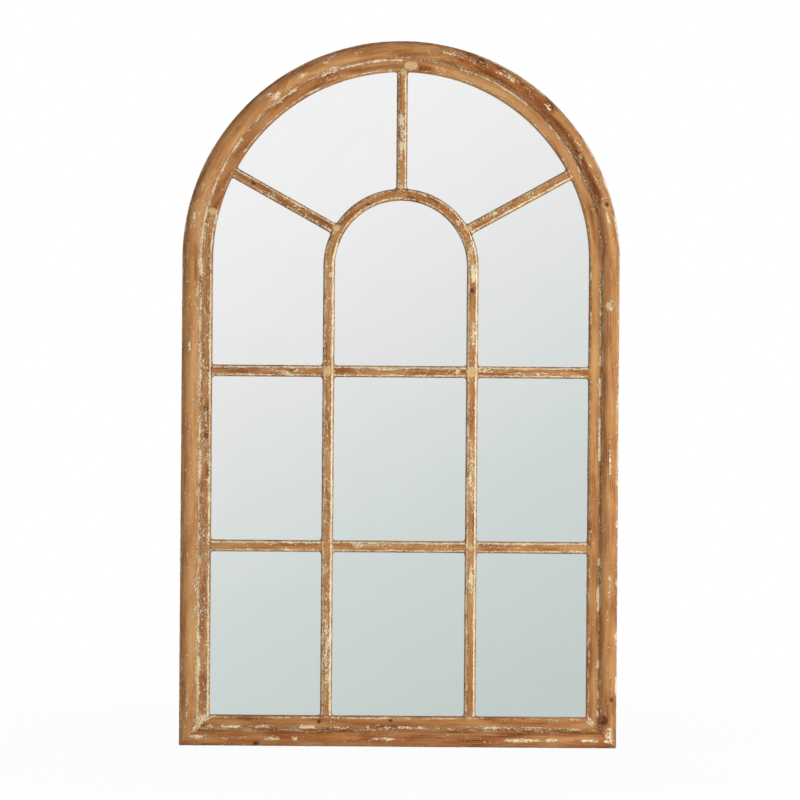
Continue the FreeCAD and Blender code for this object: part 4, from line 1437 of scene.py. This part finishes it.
    def wear(self, piece: Length, points: Points) -> tuple[np.ndarray, np.ndarray]:
        """What wear left on moulding or sash, with painted highlight and painted shade.

        Args:
            piece: The length of wood.
            points: Its points.

        Returns:
            Cover (paint, putty, unused) and wear (rubbed wood and painted highlight, dirt and painted shade,
            heartwood) of each point.
        """
        sizes, inset = self.sizes, points.inset
        station = points.along + piece.station_offset
        flank = np.where(inset < 2.0, np.exp(np.clip(sizes.shoulder_y - points.depth, None, 0) / 8.0), 1.0)
        outer = smooth(inset, 6.0, 0.5) * flank
        groove_in_light = window(station, self.station_of(Side.HEAD, -85), self.station_of(Side.HEAD, -6), 40.0)
        layers = np.zeros((len(Layer),) + inset.shape)
        layers[Layer.PAINT] = (piece.paint + 0.22 * outer + 0.3 * hump(inset, sizes.moulding, 3.0)
                               + 0.36 * hump(inset, SIGHT, 1.6))
        # dirt and painted shade: darker in the groove by the sash, less on the head's upper left where the
        # groove faces the light; darker also on the outer rim and at the sight edge
        layers[Layer.DIRT_AND_SHADE] = ((0.55 - 0.35 * groove_in_light) * hump(inset, sizes.moulding, 1.3) + 0.2 * outer
                              + 0.45 * smooth(inset, sizes.sight_inset - 1.2, sizes.sight_inset))
        layers[Layer.HEART] = piece.heart
        # lighter along the crest: wear, and partly a painted highlight
        layers[Layer.RUBBED_AND_LIT] = 0.25 * hump(inset, sizes.moulding / 2, 7.0)
        for patch in PATCHES:
            low, high = sorted(self.station_of(patch.side, value) for value in (patch.start, patch.end))
            soft = 5.0 if patch.layer is Layer.PAINT else 14.0
            share = flank * window(station, low, high, soft) * hump(inset, patch.inset, patch.reach)
            layers[patch.layer] = np.maximum(layers[patch.layer], patch.amount * share)
        return finish_wear(layers, points, points.depth < sizes.back_y - 4)

    def build(self) -> list[bpy.types.Object]:
        """Build and dress moulding and sash.

        Returns:
            Their pieces.
        """
        pieces = []
        for lengths, material, slot in ((self.moulding(), self.fir, "moulding_wood"),
                                        (self.sash(), self.sash_fir, "sash_wood")):
            for length in lengths:
                piece = length.build(self.sizes, self.wear)
                if length.half_round:
                    self.round_corners(piece)
                dress(piece, material)
                pieces.append(piece)
        return pieces

    def round_corners(self, piece: bpy.types.Object) -> None:
        """Take the points off the two lower corners of the moulding.

        Args:
            piece: One piece of the moulding.
        """
        count = len(piece.data.vertices)
        places = np.empty(count * 3, np.float32)
        piece.data.vertices.foreach_get("co", places)
        places = places.reshape(-1, 3)
        radius = self.corner_radius * MM
        middle_x = self.sizes.half_width * MM - radius
        middle_z = self.sizes.under_z * MM + radius
        step_x, step_z = np.abs(places[:, 0]) - middle_x, places[:, 2] - middle_z
        outside = (step_x > 0) & (step_z < 0)
        shrink = np.where(outside, np.minimum(1.0, radius / np.maximum(np.hypot(step_x, step_z), 1e-9)), 1.0)
        places[:, 2] = np.where(outside, middle_z + step_z * shrink, places[:, 2])
        places[:, 0] = np.where(outside, np.sign(places[:, 0]) * (middle_x + step_x * shrink), places[:, 0])
        piece.data.vertices.foreach_set("co", places.reshape(-1))
        piece.data.update()


def finish_wear(layers: np.ndarray, points: Points, front: np.ndarray) -> tuple[np.ndarray, np.ndarray]:
    """Add the blots in plan and pack the layers for the finish.

    Args:
        layers: One grid for each layer.
        points: The points of the wood.
        front: Where they face the room.

    Returns:
        Cover (paint, putty, unused) and wear (rubbed wood and painted highlight, dirt and painted shade,
        heartwood) of each point.
    """
    for spot in SPOTS:
        sine, cosine = math.sin(math.radians(spot.turn)), math.cos(math.radians(spot.turn))
        step_x, step_z = points.x - spot.x, points.z - spot.z
        ahead = (step_x * cosine + step_z * sine) / spot.reach_x
        beside = (step_z * cosine - step_x * sine) / spot.reach_z
        if spot.layer is Layer.PUTTY:       # runs out along the bars it joins
            share = np.clip(1.1 - 0.42 * (np.abs(ahead) ** 1.3 + np.abs(beside) ** 1.3), 0, 1)
        else:
            share = np.exp(-(ahead ** 2 + beside ** 2) ** 1.5)
        layers[spot.layer] = np.maximum(layers[spot.layer], spot.amount * share)
    layers[Layer.PAINT] *= np.where(front, 1.0, 0.45)
    layers[Layer.PUTTY] *= front
    cover = np.stack([layers[Layer.PAINT], layers[Layer.PUTTY], np.zeros(points.x.shape)], -1)
    wear = np.stack([layers[Layer.RUBBED_AND_LIT], layers[Layer.DIRT_AND_SHADE], layers[Layer.HEART]], -1)
    return cover, wear


# ---------------------------------------------------------------- glazing bars

@dataclass
class Lattice:
    """Uprights running into the inner arch, cross bars halved behind them, and three spokes."""

    sizes: Sizes
    fir: bpy.types.Material
    foot_joint: float = 70.0        # joints of the inner arch, degrees from upright
    crown_joint: float = 5.0
    pitch: float = 1.9              # between sections, mm

    def section(self, half: float) -> np.ndarray:
        """Flat front with bevels, sight edges and the tongue between two panes.

        Args:
            half: Half the bar's width.

        Returns:
            Rows of inset and depth.
        """
        sizes = self.sizes
        ridge = half - sizes.bevel_width
        steps = [half, half - 0.9, half - 2.0, half - 3.1, ridge + 0.5, ridge - 0.4, ridge - 2.2]
        front = [-step for step in steps] + [-1.6, 1.6] + steps[::-1]
        tongue = half - sizes.tongue
        back = [(half, sizes.pane_y), (tongue + 0.15, sizes.pane_y), (tongue - 0.15, sizes.sash_back_y),
                (0.15 - tongue, sizes.sash_back_y), (-tongue - 0.15, sizes.pane_y), (-half, sizes.pane_y)]
        return np.array([(inset, sizes.sash_front_y) for inset in front] + back)

    def ring(self) -> list[Length]:
        """Uprights and inner arch, one line of wood.

        Returns:
            The lengths of wood.
        """
        sizes, section = self.sizes, self.section(self.sizes.bar_half)
        run = ArchRun(sizes.bar_centre, sizes.sight_bottom, sizes.inner_z)
        laps = tuple((level - sizes.bar_half - sizes.sight_bottom, level + sizes.bar_half - sizes.sight_bottom)
                     for level in (sizes.lower_z, sizes.upper_z))
        mirrored = tuple((run.length - high, run.length - low) for low, high in laps)
        left, crown, right = [Cut(run.station(angle))
                              for angle in (-self.foot_joint, self.crown_joint, self.foot_joint)]
        return [Length("upright_left", run, section, Cut(), left, 31, hollows=laps, flares=((0.0, 1),),
                       ridge_paint=(0.1, 0.3), paint=0.16, pitch=self.pitch, heart=0.3),
                Length("inner_arch_left", run, section, left, crown, 32, ridge_paint=(0.02, 0.12), heart=0.56,
                       pitch=self.pitch),
                Length("inner_arch_right", run, section, crown, right, 33, ridge_paint=(0.18, 0.03), heart=0.62,
                       pitch=self.pitch),
                Length("upright_right", run, section, right, Cut(run.length), 34, hollows=mirrored,
                       flares=((run.length, -1),), ridge_paint=(0.34, 0.2), pitch=self.pitch, heart=0.28)]

    def cross_bars(self) -> list[Length]:
        """Two cross bars, passing behind the uprights.

        Returns:
            The lengths of wood.
        """
        sizes, section = self.sizes, self.section(self.sizes.bar_half)
        width = 2 * sizes.sight_half
        laps = tuple((side * sizes.bar_centre + sizes.sight_half - sizes.bar_half,
                      side * sizes.bar_centre + sizes.sight_half + sizes.bar_half) for side in (-1, 1))
        flares = ((0.0, 1), (width, -1)) + tuple(edge for low, high in laps for edge in ((low, -1), (high, 1)))
        return [Length(name, StraightRun(-sizes.sight_half, level, 1.0, 0.0), section, Cut(), Cut(width), seed,
                       hollows=laps, hollow_front=True, flares=flares, ridge_paint=(0.28, 0.16),
                       pitch=self.pitch, heart=heart)
                for name, level, seed, heart in (("cross_bar_lower", sizes.lower_z, 35, 0.36),
                                                 ("cross_bar_upper", sizes.upper_z, 36, 0.54))]

    def spokes(self) -> list[Length]:
        """Three spokes from the inner arch to the sash.

        Returns:
            The lengths of wood.
        """
        sizes, section = self.sizes, self.section(self.sizes.spoke_half)
        lift = sizes.spring_z - sizes.inner_z
        start = Cope(sizes.bar_centre + sizes.bar_half)
        pieces = []
        for name, angle, seed in (("spoke_left", -sizes.spoke_angle, 37), ("spoke_centre", 0.0, 38),
                                  ("spoke_right", sizes.spoke_angle, 39)):
            sine, cosine = math.sin(math.radians(angle)), math.cos(math.radians(angle))
            end = Cope(sizes.sight_half, lift * cosine, lift * sine)
            pieces.append(Length(name, StraightRun(0.0, sizes.inner_z, sine, cosine), section, start, end, seed,
                                 flares=((float(start(0.0)), 1), (float(end(0.0)), -1)), pitch=self.pitch,
                                 ridge_paint=(0.1, 0.22), heart=0.46))
        return pieces

    def wear(self, piece: Length, points: Points) -> tuple[np.ndarray, np.ndarray]:
        """What wear left on a bar, with painted shade along its edges.

        Args:
            piece: The length of wood.
            points: Its points.

        Returns:
            Cover (paint, putty, unused) and wear (rubbed wood and painted highlight, dirt and painted shade,
            heartwood) of each point.
        """
        half, inset = float(piece.section[:, 0].max()), points.inset
        ridge = half - self.sizes.bevel_width + 1.0
        layers = np.zeros((len(Layer),) + inset.shape)
        layers[Layer.PAINT] = (piece.paint + 0.12 + (0.26 + piece.ridge_paint[0]) * hump(inset, -ridge, 1.7)
                               + (0.28 + piece.ridge_paint[1]) * hump(inset, ridge, 1.7))
        # darker along both edges where the bar meets the panes: dirt and painted shade
        layers[Layer.DIRT_AND_SHADE] = 0.5 * smooth(np.abs(inset), half - 1.0, half)
        layers[Layer.HEART] = piece.heart
        layers[Layer.RUBBED_AND_LIT] = 0.2 * hump(inset, 0.0, 4.0)
        return finish_wear(layers, points, points.depth < self.sizes.pane_y - 0.1)

    def build(self) -> list[bpy.types.Object]:
        """Build and dress all bars.

        Returns:
            Their pieces.
        """
        pieces = []
        for length in self.ring() + self.cross_bars() + self.spokes():
            piece = length.build(self.sizes, self.wear)
            dress(piece, self.fir)
            pieces.append(piece)
        return pieces


# ---------------------------------------------------------------- glass, board and fittings

@dataclass
class Glazing:
    """Eleven mirror panes and the hardboard that holds them in."""

    panes: tuple[str, ...] = tuple(sorted(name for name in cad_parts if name.startswith("pane_")))
    board: str = "backing_board"

    def build(self) -> list[bpy.types.Object]:
        """Dress panes and board.

        Returns:
            Their pieces.
        """
        glass, hardboard = SilveredFloatGlass().material(), PressedHardboard().material()
        for name in self.panes:
            dress(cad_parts[name], glass)
        dress(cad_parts[self.board], hardboard)
        return [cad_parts[name] for name in self.panes + (self.board,)]


@dataclass(frozen=True)
class Screws:
    """One group of screws: domed heads with cross recesses on plain shanks, in millimetres."""

    node: str                       # CAD node that they replace
    head: float                     # diameter
    shank: float                    # diameter; drawn without its thread
    height: float = 2.0             # of the head
    length: float = 14.0            # of the shank
    point: float = 3.0              # of that, the tapered end
    facets: int = 36
    recess_half: float = 0.55       # half width of the cross recess
    recess_reach: float = 1.9
    recess_depth: float = 1.1
    spin: float = 0.7               # each is driven this much further than the last, radians

    def places(self) -> list[tuple[float, float, float]]:
        """Middle of each head, found from the solids' own points.

        Returns:
            x, y of the head's outer face, and z.
        """
        points = np.array([vertex.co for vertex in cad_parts[self.node].data.vertices]) / MM
        top = points[points[:, 1] > points[:, 1].max() - 0.05]
        places: list[tuple[float, float, float]] = []
        while len(top):
            near = np.hypot(top[:, 0] - top[0, 0], top[:, 2] - top[0, 2]) < self.head + 0.5
            group = top[near]
            places.append(((group[:, 0].min() + group[:, 0].max()) / 2, float(group[0, 1]),
                           (group[:, 2].min() + group[:, 2].max()) / 2))
            top = top[~near]
        return places

    def profile(self) -> list[tuple[float, float]]:
        """Outline of a screw, from near the head's middle to its tip.

        Returns:
            Radius and drop of each ring.
        """
        radius = self.head / 2
        dome = [0.3, 0.6, 0.9, 1.2, 1.5, 1.8, 2.1, 2.4, radius - 0.35, radius - 0.1, radius]
        rings = [(reach, max(-self.height * (1 - math.sqrt(max(0.0, 1 - (reach / radius) ** 2.6))),
                             -0.8 * self.height)) for reach in dome]
        return rings + [(radius, -self.height), (self.shank / 2, -self.height),
                        (self.shank / 2, -self.height - self.length + self.point),
                        (0.2, -self.height - self.length)]

    def recess(self, across: float, up: float, reach: float) -> float:
        """How deep the cross recess is at a place on the head.

        Args:
            across: The place, before the screw is turned.
            up: The same.
            reach: Its distance from the middle.

        Returns:
            The depth, 0 outside the recess.
        """
        inside = min(abs(across), abs(up)) < self.recess_half and reach < self.recess_reach
        return self.recess_depth * (1 - 0.4 * reach / self.recess_reach) if inside else 0.0

    def build(self, steel: bpy.types.Material) -> bpy.types.Object:
        """Make the group as one piece.

        Args:
            steel: Its finish.

        Returns:
            The mesh object.
        """
        rings = self.profile()
        turn = np.linspace(0, 2 * math.pi, self.facets, endpoint=False)
        points: list[tuple[float, float, float]] = []
        faces: list[list[int]] = []
        for number, (x, y, z) in enumerate(self.places()):
            base = len(points)
            sine, cosine = math.sin(self.spin * number), math.cos(self.spin * number)
            for reach, drop in rings:
                for angle in turn:
                    across, up = reach * math.cos(angle), reach * math.sin(angle)
                    points.append((x + across * cosine - up * sine, y + drop - self.recess(across, up, reach),
                                   z + across * sine + up * cosine))
            middle, tip = len(points), len(points) + 1
            points += [(x, y - self.recess_depth, z), (x, y - self.height - self.length, z)]
            last = base + (len(rings) - 1) * self.facets
            for low in range(base, last, self.facets):
                for step in range(self.facets):
                    there = (step + 1) % self.facets
                    faces.append([low + step, low + there, low + self.facets + there, low + self.facets + step])
            for step in range(self.facets):
                there = (step + 1) % self.facets
                faces += [[middle, base + there, base + step], [tip, last + step, last + there]]
        mesh = bpy.data.meshes.new(self.node + "_heads")
        mesh.from_pydata((np.array(points) * MM).tolist(), [], faces)
        mesh.shade_smooth()
        mesh.set_sharp_from_angle(angle=math.radians(40))
        piece = bpy.data.objects.new(self.node + "_heads", mesh)
        bpy.context.scene.collection.objects.link(piece)
        dress(piece, steel)
        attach(piece, "mirror")
        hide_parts(self.node)
        return piece


@dataclass
class Fixings:
    """Dowels and pins inside the wood, screws, hangers and wall bumpers behind it."""

    screws: tuple[Screws, ...] = (Screws("board_screws", head=6.0, shank=3.0),
                                  Screws("hanger_screws", head=6.4, shank=3.2))

    def build(self) -> list[bpy.types.Object]:
        """Build the screws and dress the rest.

        Returns:
            The pieces.
        """
        bright = PlatedSteel().material()
        yellow = PlatedSteel("yellow_passivated_zinc_steel", bright="dcc48a", dull="b39a5f").material()
        drawn = PlatedSteel("bright_drawn_steel", bright="a9abad", dull="8f9294").material()
        beech, rubber = TurnedBeech().material(), MouldedRubber().material()
        pieces = [group.build(yellow) for group in self.screws]
        for names, material in ((("frame_dowels", "sash_dowels", "inner_arch_dowels"), beech),
                                (("sash_pins",), drawn),
                                (("hanger_strap_left", "hanger_strap_right", "hanger_ring_left",
                                  "hanger_ring_right"), bright),
                                (("wall_bumper_left", "wall_bumper_right"), rubber)):
            for name in names:
                dress(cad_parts[name], material)
                pieces.append(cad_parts[name])
        return pieces


# ---------------------------------------------------------------- studio

@dataclass
class Studio:
    """Pale floor, soft light and the camera."""

    distance: float = 5.03          # camera to wall, m
    lens: float = 123.3
    eye_z: float = -0.282
    lean: float = 0.43              # the mirror leans a little to the right in the picture, degrees
    floor_z: float = -0.917
    floor_half: float = 30.0
    floor_colour: str = "f4f4f2"
    ambient: tuple[float, float] = (0.6, 0.33)     # from the sides and from straight above
    key_power: float = 67.0
    fill_power: float = 22.0

    def camera(self) -> None:
        """Set up the camera, square on to the mirror."""
        data = bpy.data.cameras.new("camera")
        data.lens, data.sensor_width = self.lens, 36.0
        data.clip_start, data.clip_end = 0.1, 100.0
        camera = bpy.data.objects.new("camera", data)
        bpy.context.scene.collection.objects.link(camera)
        camera.matrix_world = (Matrix.Translation((0.0, -self.distance, self.eye_z))
                               @ Matrix.Rotation(math.radians(90), 4, "X")
                               @ Matrix.Rotation(math.radians(self.lean), 4, "Z"))
        bpy.context.scene.camera = camera

    def lamp(self, name: str, place: tuple[float, float, float], aim: tuple[float, float, float],
             size: tuple[float, float], power: float) -> None:
        """Add one soft lamp.

        Args:
            name: Its name.
            place: Where it stands, m.
            aim: Where it points, m.
            size: Its width and height, m.
            power: Its power, W.
        """
        data = bpy.data.lights.new(name, "AREA")
        data.shape, data.energy = "RECTANGLE", power
        data.size, data.size_y = size
        lamp = bpy.data.objects.new(name, data)
        bpy.context.scene.collection.objects.link(lamp)
        lamp.location = place
        lamp.visible_glossy = False         # the glass shows the plain room, not the lamp
        lamp.rotation_mode = "QUATERNION"
        lamp.rotation_quaternion = (Vector(aim) - Vector(place)).to_track_quat("-Z", "Y")

    def floor(self) -> None:
        """Lay the floor: near white to the camera, darker only under the mirror, unseen in the glass."""
        half = self.floor_half
        mesh = bpy.data.meshes.new("floor")
        mesh.from_pydata([(-half, -half, self.floor_z), (half, -half, self.floor_z), (half, half, self.floor_z),
                          (-half, half, self.floor_z)], [], [(0, 1, 2, 3)])
        floor = bpy.data.objects.new("floor", mesh)
        bpy.context.scene.collection.objects.link(floor)
        material, tree = new_material("matt_white_floor_paint")
        path = add(tree, "LightPath")
        matt = add(tree, "BsdfDiffuse", {"Color": linear(self.floor_colour)})
        white = add(tree, "Emission", {"Color": (1.0, 1.0, 1.0, 1.0), "Strength": 1.0})
        place = add(tree, "TexCoord").outputs["Object"]
        away = add(tree, "VectorMath", {"operation": "LENGTH"}, {0: place})
        fade = add(tree, "MapRange", {"From Min": 0.95, "From Max": 2.2, "To Min": 0.955, "To Max": 1.0},
                   {"Value": away.outputs["Value"]})
        seen = add(tree, "Math", {"operation": "MULTIPLY"}, {0: path.outputs["Is Camera Ray"], 1: fade})
        bright = add(tree, "MixShader", {}, {0: seen, 1: matt, 2: white})
        mirrored = add(tree, "Math", {"operation": "MAXIMUM"}, {0: path.outputs["Is Glossy Ray"],
                                                              1: path.outputs["Is Transmission Ray"]})
        clear = add(tree, "BsdfTransparent")
        mixed = add(tree, "MixShader", {}, {0: mirrored, 1: bright, 2: clear})
        add(tree, "OutputMaterial", links={"Surface": mixed})
        dress(floor, material)

    def world(self) -> None:
        """Plain light all round; white to the camera; to the glass, white above and pale grey-green below."""
        world = bpy.data.worlds.new("studio")
        bpy.context.scene.world = world
        world.use_nodes = True
        tree = world.node_tree
        tree.nodes.clear()
        path = add(tree, "LightPath")
        way = add(tree, "SeparateXYZ", {}, {0: add(tree, "TexCoord").outputs["Generated"]})
        level = add(tree, "MapRange", {"From Min": 0.0, "From Max": 1.0, "To Min": self.ambient[0],
                                       "To Max": self.ambient[1]}, {"Value": way.outputs[2]})
        plain = add(tree, "Background", {"Color": (1.0, 0.99, 0.975, 1.0)}, {"Strength": level})
        white = add(tree, "Background", {"Color": (1.0, 1.0, 1.0, 1.0), "Strength": 1.0})
        across = add(tree, "Clamp", {"Min": -0.12, "Max": 0.12}, {"Value": way})
        slant = add(tree, "Math", {"operation": "MULTIPLY_ADD", 1: -0.55}, {0: across, 2: way.outputs[2]})
        height = add(tree, "MapRange", {"From Min": -0.14, "From Max": 0.13}, {"Value": slant})
        shade = add(tree, "ValToRGB", {"stops": [(0.016, linear("c9d1cf")), (0.207, linear("d2d8d6")),
                                                 (0.341, linear("d8dddd")), (0.437, linear("dfe2e2")),
                                                 (0.519, linear("e5e5e6")), (0.681, linear("efedee")),
                                                 (0.81, linear("f5f2f3")), (0.959, linear("faf6f8"))]},
                    {"Fac": height})
        glossy = add(tree, "Background", {"Strength": 1.0}, {"Color": shade})
        mirrored = add(tree, "Math", {"operation": "MAXIMUM"}, {0: path.outputs["Is Glossy Ray"],
                                                              1: path.outputs["Is Transmission Ray"]})
        first = add(tree, "MixShader", {}, {0: mirrored, 1: plain, 2: glossy})
        second = add(tree, "MixShader", {}, {0: path.outputs["Is Camera Ray"], 1: first, 2: white})
        add(tree, "OutputWorld", links={"Surface": second})

    def build(self) -> None:
        """Set up floor, light, camera and plain colour handling."""
        self.camera()
        self.floor()
        self.world()
        self.lamp("key", (1.9, -2.2, -0.6), (0.0, 0.0, -0.3), (1.8, 1.0), self.key_power)
        self.lamp("fill", (-1.2, 2.6, 1.6), (0.0, 0.0, -0.2), (2.0, 2.0), self.fill_power)
        bpy.context.scene.view_settings.view_transform = "Standard"


# ---------------------------------------------------------------- assembly


def main() -> None:
    """Build the mirror piece by piece, then the studio, and report each."""
    logging.basicConfig(level=logging.INFO, format="%(name)s: %(message)s")
    sizes = Sizes.read()
    log.info("sizes: %s", sizes)
    surround = Surround(sizes, LimewashedFir("limewashed_fir_moulding").material(),
                        LimewashedFir("limewashed_fir_sash", ring_share=0.12).material())
    lattice = Lattice(sizes, LimewashedFir("limewashed_fir_bars", ring_share=0.14).material())
    for name, part in (("surround", surround), ("lattice", lattice), ("glazing", Glazing()),
                       ("fixings", Fixings())):
        for piece in part.build():
            log.info("%s: %s, %d points", name, piece.name, len(piece.data.vertices))
    Studio().build()
    log.info("studio: floor, two lamps and camera")


if __name__ == "__main__":
    main()
